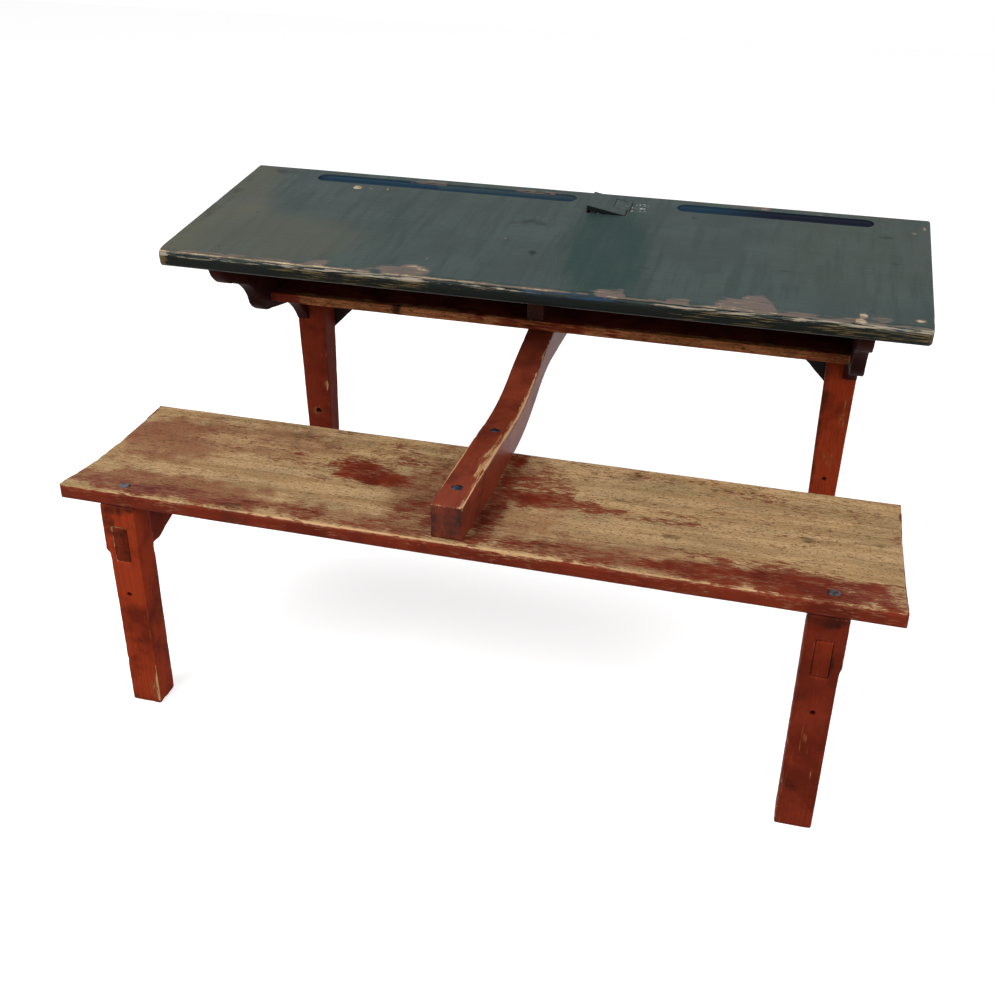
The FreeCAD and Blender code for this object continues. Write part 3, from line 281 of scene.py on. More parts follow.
@dataclass(frozen=True)
class PaintedPine(Finish):
    """Pine brushed with oil paint, rubbed and chipped by years of use.

    The coat gives a chalky, half-dull skin with brush lines along the board. It is lost first at the arrises and
    along the fibres, in slivers, where the dry, warmer wood shows its grain.
    """

    coat: str
    coat_dark: str
    coat_thin: str
    wood: str
    wood_dark: str
    grime: str
    grain: Grain
    fresh: str = "#c39870"
    # Colour of grime, also laid as painted shade where a piece is darkened for shade.
    dirt_and_shade: str = "#1a120e"
    coat_roughness: float = 0.55
    wood_roughness: float = 0.75
    # Weathered oil paint has chalked, so it mirrors far less than a fresh coat.
    gleam: float = 0.04
    rubbed_mm: float = 4.0
    rubbed: float = 0.72
    fibre_loss: float = 2.4
    patch_loss: float = 1.2
    kept: float = 0.25
    bare_from: float = 0.48
    bare_to: float = 0.54
    thin_from: float = 0.1
    thin_share: float = 0.8
    stain_share: float = 0.85
    tone_mm: float = 70.0
    grime_share: float = 0.6

    # Sizes of patterns are given along the fibres and across them.
    # Yearly rings of pine stand 3 to 6 mm apart on a flat-sawn board and run nearly straight with it.
    ring_mm: tuple[float, float] = (260.0, 5.0)
    # Pine fibres are far finer than a millimetre, and are drawn at 1.6 mm so that they show in the picture.
    fibre_mm: tuple[float, float] = (34.0, 1.6)
    # Brush lines are about 0.4 mm apart, and are drawn at 1.5 mm so that they show in the picture.
    brush_mm: tuple[float, float] = (120.0, 1.5)
    # Flakes of paint come off in slivers of this size along the fibres.
    flake_mm: tuple[float, float] = (34.0, 2.6)
    # Larger flakes go in patches a few centimetres long, grime lies in longer clouds, and smudges are thumb-wide.
    scab_mm: tuple[float, float] = (60.0, 24.0)
    cloud_mm: tuple[float, float] = (130.0, 40.0)
    smudge_mm: float = 26.0
    # Specks of dirt lie in the grain, a few millimetres long.
    speck_mm: tuple[float, float] = (7.0, 2.2)
    # Drying checks run with the grain a centimetre or two apart. They are drawn half a millimetre wide to show.
    check_mm: tuple[float, float] = (240.0, 11.0)
    # A coat of oil paint is a third of a millimetre thick once it has been renewed a few times.
    coat_mm: float = 0.35
    # Dry linseed oil paint bends light about this much.
    ior: float = 1.48

    def fibrous(self, tree: Tree, size_mm: tuple[float, float], detail: float) -> Socket:
        """Return a pattern whose cells have this size along the fibres and across them."""
        return speckle(tree, self.grain.scale(*size_mm), detail)

    def loss(self, tree: Tree) -> Socket:
        """Work out where the coat has gone.

        Args:
            tree: node tree that takes the pattern.

        Returns:
            A socket above one half where the wood is bare.
        """
        arris = add_node(tree, "ShaderNodeAttribute", out="Fac", attribute_name="arris")
        near = add_node(
            tree,
            "ShaderNodeMapRange",
            {"Value": arris, "From Max": self.rubbed_mm, "To Min": self.rubbed, "To Max": 0.0},
            interpolation_type="SMOOTHSTEP",
        )
        flakes = self.fibrous(tree, self.flake_mm, 5.0)
        scabs = self.fibrous(tree, self.scab_mm, 5.0)
        middle = -0.5 * (self.fibre_loss + self.patch_loss) - self.kept
        parts = (("bare", 1.0), (near, 1.0), (flakes, self.fibre_loss), (scabs, self.patch_loss))
        return add_up(tree, parts, middle)

    def timber(self, tree: Tree) -> tuple[Socket, Socket]:
        """Draw the bare wood.

        Args:
            tree: node tree that takes the pattern.

        Returns:
            The colour of the wood, and its fine fibres as a height.
        """
        rings = self.fibrous(tree, self.ring_mm, 3.0)
        fibres = self.fibrous(tree, self.fibre_mm, 3.0)
        clouds = self.fibrous(tree, self.cloud_mm, 6.0)
        checks = self.fibrous(tree, self.check_mm, 2.0)
        specks = self.fibrous(tree, self.speck_mm, 3.0)
        stain = add_up(tree, (("stain", 1.0), (clouds, 1.0)), -0.5)
        cracks = add_node(tree, "ShaderNodeMath", {0: checks, 1: 0.5, 2: 0.006}, operation="COMPARE")
        colour = lay(
            tree,
            self.wood,
            (self.wood_dark, rings, 0.42, 0.62, 0.7),
            (self.wood_dark, fibres, 0.5, 0.62, 0.8),
            (self.grime, clouds, 0.42, 0.62, self.grime_share),
            (self.coat_thin, stain, 0.1, 0.9, self.stain_share),
            (self.dirt_and_shade, specks, 0.56, 0.64, 0.7),
            (self.dirt_and_shade, cracks, 0.0, 1.0, 0.5),
        )
        return colour, fibres

    def coating(self, tree: Tree, lost: Socket) -> tuple[Socket, Socket]:
        """Draw the coat of paint.

        Args:
            tree: node tree that takes the pattern.
            lost: loss of the coat.

        Returns:
            The colour of the coat, and its brush lines as a height.
        """
        brush = self.fibrous(tree, self.brush_mm, 2.0)
        tone = speckle(tree, even(self.tone_mm), 6.0)
        colour = lay(
            tree,
            self.coat,
            (self.coat_dark, tone, 0.4, 0.66, 0.9),
            (self.coat_dark, brush, 0.45, 0.7, 0.4),
            (self.coat_thin, lost, self.thin_from, 0.5, self.thin_share),
        )
        return colour, brush

    def inputs(self, tree: Tree) -> dict[str, Socket | float]:
        """Draw the coat, the wood under it, and the grime and painted shade on both.

        Args:
            tree: node tree that takes the pattern.

        Returns:
            What the shader's sockets take.
        """
        lost = self.loss(tree)
        wood, fibres = self.timber(tree)
        coat, brush = self.coating(tree, lost)
        wood = lay(
            tree,
            wood,
            (self.fresh, "arris", self.rubbed_mm, 0.5 * self.rubbed_mm, 0.8),
            (self.fresh, "fresh", 0.2, 0.8, 0.9),
        )
        # Smudges and each piece's darkening value are laid in this dark colour: grime in most places, painted shade on
        # the flap's sides, in the pen grooves and at the tops of the legs.
        smudges = speckle(tree, even(self.smudge_mm), 6.0)
        soil_and_shade = add_up(tree, (("soil_and_shade", 1.0), (smudges, 1.4)), -0.7)
        colour = lay(tree, coat, (wood, lost, self.bare_from, self.bare_to), (self.dirt_and_shade, soil_and_shade, 0.2, 0.9, 0.9))
        bare = add_node(
            tree, "ShaderNodeMapRange", {"Value": lost, "From Min": self.bare_from, "From Max": self.bare_to}
        )
        rougher = self.wood_roughness - self.coat_roughness
        rough = add_up(tree, ((bare, rougher), (brush, 0.2)), self.coat_roughness - 0.1)
        height = add_up(tree, ((bare, -1.0), (brush, 0.3), (fibres, 0.5)), 1.0)
        bump = add_node(tree, "ShaderNodeBump", {"Height": height, "Distance": self.coat_mm * MM, "Strength": 0.8})
        return {
            "Base Color": colour,
            "Roughness": rough,
            "Normal": bump,
            "IOR": self.ior,
            "Specular IOR Level": self.gleam,
        }


@dataclass(frozen=True)
class GreenTopPaint(PaintedPine):
    """Dark green oil paint on the writing top, brushed over older coats of blue and a mauve ground.

    Soft blue-green bands across the board are a painted reflection, and the front edge is rubbed through coat after
    coat.
    """

    teal_reflection: str = "#193330"
    olive: str = "#585544"
    blue: str = "#1b3142"
    navy: str = "#151925"
    ground: str = "#655952"
    nose_dark: str = "#151815"
    nose_green: str = "#343e3a"
    cream: str = "#9a8f7e"
    gold: str = "#5d5036"
    nose_blue: str = "#2a445c"
    # Bands of painted reflection are a hand's width long and a centimetre or two wide.
    reflection_streak_mm: tuple[float, float] = (320.0, 16.0)
    # The coat has faded in clouds as wide as a hand, and is flecked by drops.
    fade_mm: float = 110.0
    fleck_mm: float = 3.5
    # The front edge is rubbed in slivers, and in finer and shorter scuffs.
    sliver_mm: tuple[float, float] = (60.0, 2.4)
    scuff_mm: tuple[float, float] = (40.0, 1.8)

    def coating(self, tree: Tree, lost: Socket) -> tuple[Socket, Socket]:
        """Draw the green coat with its painted reflection, the blue grooves and the rubbed front edge.

        Args:
            tree: node tree that takes the pattern.
            lost: loss of the coat.

        Returns:
            The colour of the coat, and its brush lines as a height.
        """
        brush = self.fibrous(tree, self.brush_mm, 2.0)
        # Blue-green streaks, and the darker coat along them, are a painted reflection on the top.
        reflection_streaks = speckle(tree, Grain.ALONG_Y.scale(*self.reflection_streak_mm), 4.0)
        clouds = speckle(tree, even(self.fade_mm), 6.0)
        flecks = speckle(tree, even(self.fleck_mm), 2.0)
        teal_reflection = add_up(tree, (("teal_reflection", 1.0), (reflection_streaks, 0.8)), -0.4)
        olive = add_up(tree, (("olive", 1.0), (clouds, 0.3)), -0.15)
        colour = lay(
            tree,
            self.coat,
            (self.coat_dark, clouds, 0.36, 0.68, 0.8),
            (self.coat_dark, reflection_streaks, 0.44, 0.66, 0.8),
            (self.coat_dark, brush, 0.5, 0.75, 0.3),
            (self.teal_reflection, teal_reflection, 0.0, 1.0, 0.9),
            (self.olive, olive, 0.0, 1.0, 0.9),
            (self.coat_thin, flecks, 0.64, 0.8, 0.35),
            (self.blue, "groove", 0.0, 0.8, 0.95),
            (self.navy, "navy", 0.0, 0.8, 0.95),
            (self.edge(tree), "nose", 0.0, 1.0),
            (self.ground, lost, 0.36, 0.52),
        )
        return colour, brush

    def edge(self, tree: Tree) -> Socket:
        """Draw the front edge, rubbed in slivers through green and blue to the brown wood.

        Args:
            tree: node tree that takes the pattern.

        Returns:
            The colour of the edge.
        """
        slivers = self.fibrous(tree, self.sliver_mm, 6.0)
        scuffs = self.fibrous(tree, self.scuff_mm, 6.0)
        blue = add_up(tree, (("blue", 0.6), (slivers, -2.4)), 1.1)
        # Lower on the edge the colour and its rubbed places are darker: painted shade where the edge turns under the
        # top.
        worn = add_up(tree, (("gold", 0.35), (scuffs, 2.4), ("low", -0.18)), -1.24)
        return lay(
            tree,
            self.nose_dark,
            (self.nose_green, slivers, 0.45, 0.62, 0.8),
            (self.nose_blue, blue, 0.35, 0.55, 0.7),
            (self.nose_dark, "low", 0.0, 0.7, 0.95),
            (lay(tree, self.cream, (self.gold, "low", 0.0, 0.5)), worn, 0.25, 0.42, 0.9),
        )


@dataclass(frozen=True)
class PaintedSteel(Finish):
    """Mild steel fittings, rolled, painted over with the board that they sit in and rubbed bright in spots.

    The coat hides the metal but for a few hard white glints.
    """

    coat: str = "#3a4643"
    coat_dark: str = "#2f3a38"
    steel: str = "#d3d5d6"
    gleam: float = 0.1
    worn_from: float = 0.66
    # Glints are a few millimetres across. The coat is uneven over a centimetre and a fifth of a millimetre thick.
    spot_mm: float = 5.0
    tone_mm: float = 12.0
    coat_mm: float = 0.2

    def inputs(self, tree: Tree) -> dict[str, Socket | float]:
        """Draw the coat with its bright spots.

        Args:
            tree: node tree that takes the pattern.

        Returns:
            What the shader's sockets take.
        """
        spots = speckle(tree, even(self.spot_mm), 1.5)
        tone = speckle(tree, even(self.tone_mm), 4.0)
        bright = add_node(
            tree, "ShaderNodeMapRange", {"Value": spots, "From Min": self.worn_from, "From Max": self.worn_from + 0.05}
        )
        height = add_up(tree, ((bright, -1.0), (tone, 0.5)))
        depth = {"Height": height, "Distance": self.coat_mm * MM, "Strength": 0.6}
        return {
            "Base Color": lay(tree, self.coat, (self.coat_dark, tone, 0.4, 0.65), (self.steel, bright, 0.0, 1.0)),
            "Metallic": bright,
            "Roughness": add_up(tree, ((bright, -0.2), (tone, 0.2)), 0.42),
            "Normal": add_node(tree, "ShaderNodeBump", depth),
            "Specular IOR Level": self.gleam,
        }


@dataclass(frozen=True)
class DullSteel(Finish):
    """Rolled mild steel, darkened by hands and old paint, with a few rusty specks.

    It gives a dim blue-grey gleam that the specks break up.
    """

    steel: str = "#59626e"
    dark: str = "#23282f"
    rust: str = "#4a2a1b"
    roughness: float = 0.38
    # Specks of rust are about a millimetre and a half across and a tenth deep. The metal is dark in larger clouds.
    speck_mm: float = 1.6
    pit_mm: float = 0.1
    cloud_mm: float = 9.0

    def inputs(self, tree: Tree) -> dict[str, Socket | float]:
        """Draw the dark metal and its rust.

        Args:
            tree: node tree that takes the pattern.

        Returns:
            What the shader's sockets take.
        """
        clouds = speckle(tree, even(self.cloud_mm), 4.0)
        specks = speckle(tree, even(self.speck_mm), 3.0)
        rusty = add_node(tree, "ShaderNodeMapRange", {"Value": specks, "From Min": 0.58, "From Max": 0.68})
        depth = {"Height": specks, "Distance": self.pit_mm * MM, "Strength": 0.5}
        return {
            "Base Color": lay(tree, self.steel, (self.dark, clouds, 0.35, 0.65), (self.rust, rusty, 0.0, 1.0)),
            "Metallic": add_up(tree, ((rusty, -0.85),), 0.95),
            "Roughness": add_up(tree, ((clouds, 0.25), (rusty, 0.3)), self.roughness - 0.12),
            "Normal": add_node(tree, "ShaderNodeBump", depth),
        }


@dataclass(frozen=True)
class InkStainedGlaze(Finish):
    """White glazed earthenware, thrown and dipped, stained by ink round its mouth.

    It gives a bright glassy skin with faint ripples.
    """

    glaze: str = "#d9d6ca"
    ink: str = "#1c2140"
    roughness: float = 0.12
    # Ink stains are a centimetre or two across, and the ripples of the dip are half as wide and hardly deep.
    stain_mm: float = 14.0
    ripple_mm: float = 6.0
    ripple_deep_mm: float = 0.15
    # Glaze is a glass, and bends light as one.
    ior: float = 1.5

    def inputs(self, tree: Tree) -> dict[str, Socket | float]:
        """Draw the glaze and its stains.

        Args:
            tree: node tree that takes the pattern.

        Returns:
            What the shader's sockets take.
        """
        stains = speckle(tree, even(self.stain_mm), 5.0)
        ripples = speckle(tree, even(self.ripple_mm), 1.0)
        depth = {"Height": ripples, "Distance": self.ripple_deep_mm * MM, "Strength": 0.4}
        return {
            "Base Color": lay(tree, self.glaze, (self.ink, stains, 0.46, 0.58, 0.9)),
            "Roughness": add_up(tree, ((stains, 0.4),), self.roughness - 0.1),
            "Normal": add_node(tree, "ShaderNodeBump", depth),
            "IOR": self.ior,
        }


@dataclass(frozen=True)
class Patch:
    """A place on a board where the surface differs: a soft ellipse, in millimetres of the board's own plan.

    level is the value that the surface has in the middle of the patch.
    """

    across: float
    along: float
    half_across: float
    half_along: float
    level: float
    turn_deg: float = 0.0

    def share(self, across: np.ndarray, along: np.ndarray, ragged: np.ndarray) -> np.ndarray:
        """Work out how strongly the patch holds at each point.

        Args:
            across: first coordinate of the points.
            along: second coordinate of the points.
            ragged: how far the outline strays at the points.

        Returns:
            Nought outside the patch to one in its middle.
        """
        cos, sin = math.cos(math.radians(self.turn_deg)), math.sin(math.radians(self.turn_deg))
        dx, dy = across - self.across, along - self.along
        reach = np.hypot((dx * cos + dy * sin) / self.half_across, (dy * cos - dx * sin) / self.half_along)
        held = np.clip((PATCH_GONE - reach - ragged) / (PATCH_GONE - PATCH_FULL), 0.0, 1.0)
        return held * held * (3.0 - 2.0 * held)


def patches(*rows: tuple[float, ...]) -> tuple[Patch, ...]:
    """Return the patches whose numbers stand in the rows, in the order of their fields."""
    return tuple(Patch(*row) for row in rows)


@dataclass(frozen=True)
class Wear:
    """How a board has been rubbed and knocked, in millimetres.

    arris rounds its sharp edges, cell spaces the lines of its mesh, wave is how far its planed faces stray from
    true, and nick is the depth of the knocks along its arrises.
    """

    arris: float = 1.5
    cell: float = 8.0
    wave: float = 0.25
    nick: float = 0.8
    wave_run: float = 70.0
    nick_run: float = 14.0
    nick_reach: float = 4.0


@dataclass
class Board:
    """A wooden piece: its CAD solid with rounded arrises, uneven faces and the values its paint reads.

    turn is the angle about x, in degrees, that lays a sloping board level while it is worked on. end_lines and
    front_lines are the places, in millimetres from both ends and from the front, of more lines of its mesh.
    """

    node: str
    name: str
    slot: Slot
    wear: Wear = Wear()
    body: Body = Body.DESK
    turn_deg: float = 0.0
    end_lines: tuple[float, ...] = ()
    front_lines: tuple[float, ...] = ()
    points: np.ndarray = field(default_factory=lambda: np.zeros((0, 3)))
    normals: np.ndarray = field(default_factory=lambda: np.zeros((0, 3)))
    ragged: np.ndarray = field(default_factory=lambda: np.zeros(0))

    def is_arris(self, edge: bmesh.types.BMEdge) -> bool:
        """Say whether an edge is one that wear would round.

        Args:
            edge: edge of the CAD solid's mesh.

        Returns:
            True for a sharp outer edge between faces wide enough to take the rounding.
        """
        if not edge.is_manifold or not edge.is_convex:
            return False
        if edge.calc_face_angle() < math.radians(ARRIS_ANGLE_DEG):
            return False
        length = edge.calc_length()
        width = min(face.calc_area() for face in edge.link_faces) / length
        if length < RIM_FACET_MM * MM and width < RIM_DEPTH_MM * MM:
            return False
        return width > ROUNDING_ROOM * self.wear.arris * MM

    def slice(self, mesh: Mesh, faces: list, axis: Vector, cuts: list[float]) -> None:
        """Cut faces by planes square to an axis, halving the set of planes each time.

        Args:
            mesh: mesh that holds the faces.
            faces: faces that the planes may cross.
            axis: direction that the planes are square to.
            cuts: places of the planes along the axis.
        """
        if not cuts or not faces:
            return
        middle = len(cuts) // 2
        geometry = set(faces)
        for face in faces:
            geometry.update(face.edges)
            geometry.update(face.verts)
        found = bmesh.ops.bisect_plane(
            mesh, geom=list(geometry), dist=ON_CUT_M, plane_co=axis * cuts[middle], plane_no=axis
        )["geom"]
        below, above = [], []
        for item in found:
            if isinstance(item, bmesh.types.BMFace):
                side = below if item.calc_center_median().dot(axis) < cuts[middle] else above
                side.append(item)
        self.slice(mesh, below, axis, cuts[:middle])
        self.slice(mesh, above, axis, cuts[middle + 1 :])

    def divide(self, mesh: Mesh) -> None:
        """Draw the lines of the board's mesh on its faces.

        Args:
            mesh: mesh of the board, lying level.
        """
        cell = self.wear.cell * MM
        for axis in (Vector((1, 0, 0)), Vector((0, 1, 0)), Vector((0, 0, 1))):
            reach = [vert.co.dot(axis) for vert in mesh.verts]
            first, last = math.ceil(min(reach) / cell + LINE_MARGIN), math.floor(max(reach) / cell - LINE_MARGIN)
            lines = [cell * at for at in range(first, last + 1)]
            if axis.x:
                lines += [min(reach) + line * MM for line in self.end_lines]
                lines += [max(reach) - line * MM for line in self.end_lines]
            if axis.y:
                lines += [min(reach) + line * MM for line in self.front_lines]
            self.slice(mesh, list(mesh.faces), axis, sorted(lines))

    def weather(self, mesh: Mesh, near: list[float]) -> None:
        """Move the points of the mesh by the board's waves and by the knocks along its arrises.

        Args:
            mesh: mesh of the board.
            near: each point's distance to the nearest arris, in millimetres.
        """
        mesh.normal_update()
        moves = []
        for vert, distance in zip(mesh.verts, near):
            wave = noise.noise(vert.co / (self.wear.wave_run * MM)) * self.wear.wave
            knock = max(0.0, noise.noise(vert.co / (self.wear.nick_run * MM)) - KNOCK_FROM) * KNOCK_GAIN
            hold = max(0.0, 1.0 - distance / self.wear.nick_reach)
            moves.append(vert.normal * ((wave - knock * hold * self.wear.nick) * MM))
        for vert, move in zip(mesh.verts, moves):
            vert.co += move

    def build(self, nodes: Nodes) -> Piece:
        """Make the piece that stands for the CAD node.

        Args:
            nodes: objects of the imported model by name.

        Returns:
            The piece, riding on its body, with its distance to the arrises as a point value.
        """
        mesh = bmesh.new()
        mesh.from_mesh(nodes[self.node].data)
        bmesh.ops.remove_doubles(mesh, verts=mesh.verts, dist=SAME_POINT_M)
        level = Matrix.Rotation(math.radians(-self.turn_deg), 4, "X")
        mesh.transform(level)
        bmesh.ops.dissolve_limit(
            mesh, angle_limit=math.radians(FACET_ANGLE_DEG), verts=mesh.verts, edges=mesh.edges
        )
        arrises = [edge for edge in mesh.edges if self.is_arris(edge)]
        lines = [(edge.verts[0].co.copy(), edge.verts[1].co.copy()) for edge in arrises]
        bmesh.ops.bevel(
            mesh,
            geom=arrises,
            offset=self.wear.arris * MM,
            offset_type="OFFSET",
            segments=2,
            profile=0.5,
            affect="EDGES",
            clamp_overlap=False,
        )
        self.divide(mesh)
        self.put_in_order(mesh)
        near = self.distances(mesh, lines)
        self.weather(mesh, near)
        mesh.transform(level.inverted())
        for vert in mesh.verts:
            vert.co.z = max(vert.co.z, 0.0)
        piece = self.place(mesh)
        self.carry(piece, "arris", np.array(near))
        return piece

    def put_in_order(self, mesh: Mesh) -> None:
        """Sort the points and faces of the mesh by their places, so that every run makes the same one.

        Args:
            mesh: mesh of the board.
        """
        points = sorted(mesh.verts, key=lambda vert: vert.co.to_tuple())
        ranks = {vert: at for at, vert in enumerate(points)}
        mesh.verts.sort(key=ranks.get)
        mesh.verts.index_update()
        faces = sorted(mesh.faces, key=lambda face: [vert.index for vert in face.verts])
        ranks = {face: at for at, face in enumerate(faces)}
        mesh.faces.sort(key=ranks.get)

    def distances(self, mesh: Mesh, lines: list[tuple[Vector, Vector]]) -> list[float]:
        """Measure how far each point lies from the nearest arris.

        Args:
            mesh: mesh of the board.
            lines: both ends of each arris.

        Returns:
            Distances in millimetres, in the order of the points.
        """
        marks = []
        for start, end in lines:
            steps = max(1, round((end - start).length / (ARRIS_STEP_MM * MM)))
            marks += [start.lerp(end, at / steps) for at in range(steps + 1)]
        tree = kdtree.KDTree(len(marks))
        for at, mark in enumerate(marks):
            tree.insert(mark, at)
        tree.balance()
        return [tree.find(vert.co)[2] / MM for vert in mesh.verts]

    def place(self, mesh: Mesh) -> Piece:
        """Turn the worked mesh into a piece that rides on its body in place of the node.

        Args:
            mesh: mesh of the board, which is used up.

        Returns:
            The piece.
        """
        data = bpy.data.meshes.new(self.name)
        mesh.to_mesh(data)
        mesh.free()
        data.polygons.foreach_set("use_smooth", [True] * len(data.polygons))
        data.set_sharp_from_angle(angle=math.radians(SHARP_DEG))
        piece = bpy.data.objects.new(self.name, data)
        bpy.context.scene.collection.objects.link(piece)
        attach(piece, self.body.value)
        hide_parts(self.node)
        self.points = np.array([vert.co for vert in data.vertices]) / MM
        self.normals = np.array([vert.normal for vert in data.vertices])
        self.ragged = np.array([noise.noise(vert.co / (RAGGED_MM * MM)) for vert in data.vertices])
        return piece

    def carry(self, piece: Piece, name: str, values: np.ndarray) -> None:
        """Store a value for each point of the piece under a name that its finish reads."""
        layer = piece.data.attributes.new(name, "FLOAT", "POINT")
        layer.data.foreach_set("value", np.asarray(values, np.float32))

    def finish(self, piece: Piece, material: Material, **values: np.ndarray) -> None:
        """Store the values that the finish reads, dress the piece and report it.

        Args:
            piece: piece of the board.
            material: its finish.
            values: the values at its points by name. The finish reads nought for a name that is left out.
        """
        for name, each in values.items():
            self.carry(piece, name, each)
        dress(piece, material)
        LOG.info("built %s", piece.name)

    def spread(
        self,
        plan: tuple[np.ndarray, np.ndarray],
        laid: Iterable[Patch],
        start: np.ndarray | float = 0.0,
        where: np.ndarray | float = 1.0,
        ragged: float = RAGGED_SHARE,
    ) -> np.ndarray:
        """Lay patches over each other.

        Args:
            plan: both coordinates of the points in the patches' plan, in millimetres.
            laid: the patches, the later over the earlier.
            start: value where there is no patch.
            where: one at the points that the patches may reach, nought at others.
            ragged: how far the outlines stray, as a share of the patches' half-sizes.

        Returns:
            The value at each point.
        """
        total = np.zeros(len(self.points)) + start
        for patch in laid:
            total += (patch.level - total) * patch.share(*plan, ragged * self.ragged) * where
        return total


def dress(piece: Piece, material: Material) -> None:
    """Give a piece its only material."""
    piece.data.materials.clear()
    piece.data.materials.append(material)


def dress_nodes(nodes: Nodes, finish: Finish, names: Iterable[str]) -> None:
    """Dress CAD nodes that keep their shapes.

    Args:
        nodes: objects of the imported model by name.
        finish: finish that they share.
        names: names of the nodes.
    """
    material = finish.material()
    for name in names:
        dress(nodes[name], material)


def make_plain(nodes: Nodes, node: str, slot: Slot, wear: Wear, material: Material) -> None:
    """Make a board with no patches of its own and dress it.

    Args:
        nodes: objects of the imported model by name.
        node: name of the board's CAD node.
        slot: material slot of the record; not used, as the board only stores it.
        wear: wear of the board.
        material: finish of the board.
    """
    board = Board(node, f"{node}_worn", slot, wear)
    board.finish(board.build(nodes), material)


RED_OXIDE = PaintedPine(
    # Red oxide oil paint, brushed: a warm brick red, half dull, browner where hands and feet have soiled it.
    name="red oxide oil paint, brushed on pine, upright",
    coat="#7e2d18",
    coat_dark="#571d11",
    coat_thin="#86452d",
    wood="#b98d63",
    wood_dark="#8d6540",
    grime="#6d4a31",
    grain=Grain.ALONG_Z,
    rubbed=0.5,
    gleam=0.02,
)
MAROON = PaintedPine(
    # Maroon oil paint, brushed, set nearly black: the paint's own dark red with painted shade from the top over it.
    name="maroon oil paint, brushed on pine",
    coat="#33140f",
    coat_dark="#1c0c09",
    coat_thin="#4c261d",
    wood="#8a5c3a",
    wood_dark="#644026",
    grime="#33201a",
    grain=Grain.ALONG_Y,
    rubbed=0.35,
    gleam=0.02,
)
INNER_MAROON = PaintedPine(
    # The same paint inside the box, where it has stayed whole and gathered dust; its near-black colour is partly
    # painted shade of the box.
    name="maroon oil paint, brushed on pine, lengthwise",
    coat="#3a1a15",
    coat_dark="#22110e",
    coat_thin="#48261d",
    wood="#855a38",
    wood_dark="#5f3f25",
    grime="#30201a",
    grain=Grain.ALONG_X,
    rubbed=0.4,
    gleam=0.1,
)
CORNER_MAROON = PaintedPine(
    # Maroon paint over the sawn corner pieces, set nearly black as painted shade behind the legs.
    name="maroon oil paint, brushed on a corner piece",
    coat="#261815",
    coat_dark="#181110",
    coat_thin="#33201b",
    wood="#6b4a30",
    wood_dark="#4c3421",
    grime="#2a1c16",
    grain=Grain.ALONG_X,
    rubbed=0.3,
    gleam=0.1,
)
SHELF_RED = PaintedPine(
    # Red oxide paint rubbed off a shelf's front edge by books, down to orange-brown pine.
    name="red oxide oil paint, brushed on pine, lengthwise",
    coat="#7c3020",
    coat_dark="#4c1f17",
    coat_thin="#94502f",
    wood="#c07d50",
    wood_dark="#935a35",
    grime="#6d3f22",
    grain=Grain.ALONG_X,
    kept=0.0,
)
BEAM_RED = PaintedPine(
    # Red oxide paint on a beam that shoes slide over: smooth, with a long bare strip at one arris.
    name="red oxide oil paint, brushed on the beam",
    coat="#7a3420",
    coat_dark="#562016",
    coat_thin="#874b33",
    wood="#bf9468",
    wood_dark="#946a42",
    grime="#7a5336",
    grain=Grain.ALONG_Y,
    coat_roughness=0.42,
    gleam=0.1,
)
SEAT_PINE = PaintedPine(
    # Pine seat rubbed bare by sitting: dry tan wood, greyed by dirt, with rests of faded red paint.
    name="bare pine with rests of red paint, rubbed smooth",
    coat="#6e2918",
    coat_dark="#531c11",
    coat_thin="#84543c",
    wood="#b99870",
    wood_dark="#98764f",
    grime="#8a7656",
    grain=Grain.ALONG_X,
    dirt_and_shade="#3d2b1a",
    coat_roughness=0.5,
    rubbed_mm=3.0,
    rubbed=0.25,
    fibre_loss=2.6,
    patch_loss=2.0,
    ring_mm=(260.0, 15.0),
    fibre_mm=(11.0, 2.2),
    speck_mm=(5.0, 2.2),
    flake_mm=(13.0, 2.4),
    kept=0.0,
    thin_from=-0.1,
    grime_share=0.45,
)


@dataclass(frozen=True)
class Leg:
    """One leg: its paint with its painted light and shade, and where it is bare and darkened, across the desk and up
    from the floor.

    front_only keeps the bare places to the front of the leg.
    """

    node: str
    coat: str
    bare: tuple[Patch, ...]
    soil_and_shade: tuple[Patch, ...]
    front_only: bool = False

    def build(self, nodes: Nodes, wear: Wear) -> None:
        """Make the leg and dress it.

        Args:
            nodes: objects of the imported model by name.
            wear: wear of the leg.
        """
        board = Board(self.node, f"{self.node}_worn", Slot.RED, wear)
        piece = board.build(nodes)
        plan = (board.points[:, 0], board.points[:, 2])
        where = board.normals[:, 1] < -LEANING if self.front_only else 1.0
        paint = replace(RED_OXIDE, name=f"red oxide oil paint, brushed on the {self.node}", coat=self.coat)
        bare = board.spread(plan, self.bare, where=where)
        board.finish(piece, paint.material(), bare=bare, soil_and_shade=board.spread(plan, self.soil_and_shade))


@dataclass
class Assembly:
    """A group of pieces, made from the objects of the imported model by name."""

    nodes: Nodes

    def build(self) -> None:
        """Make the pieces and dress them."""
        raise NotImplementedError


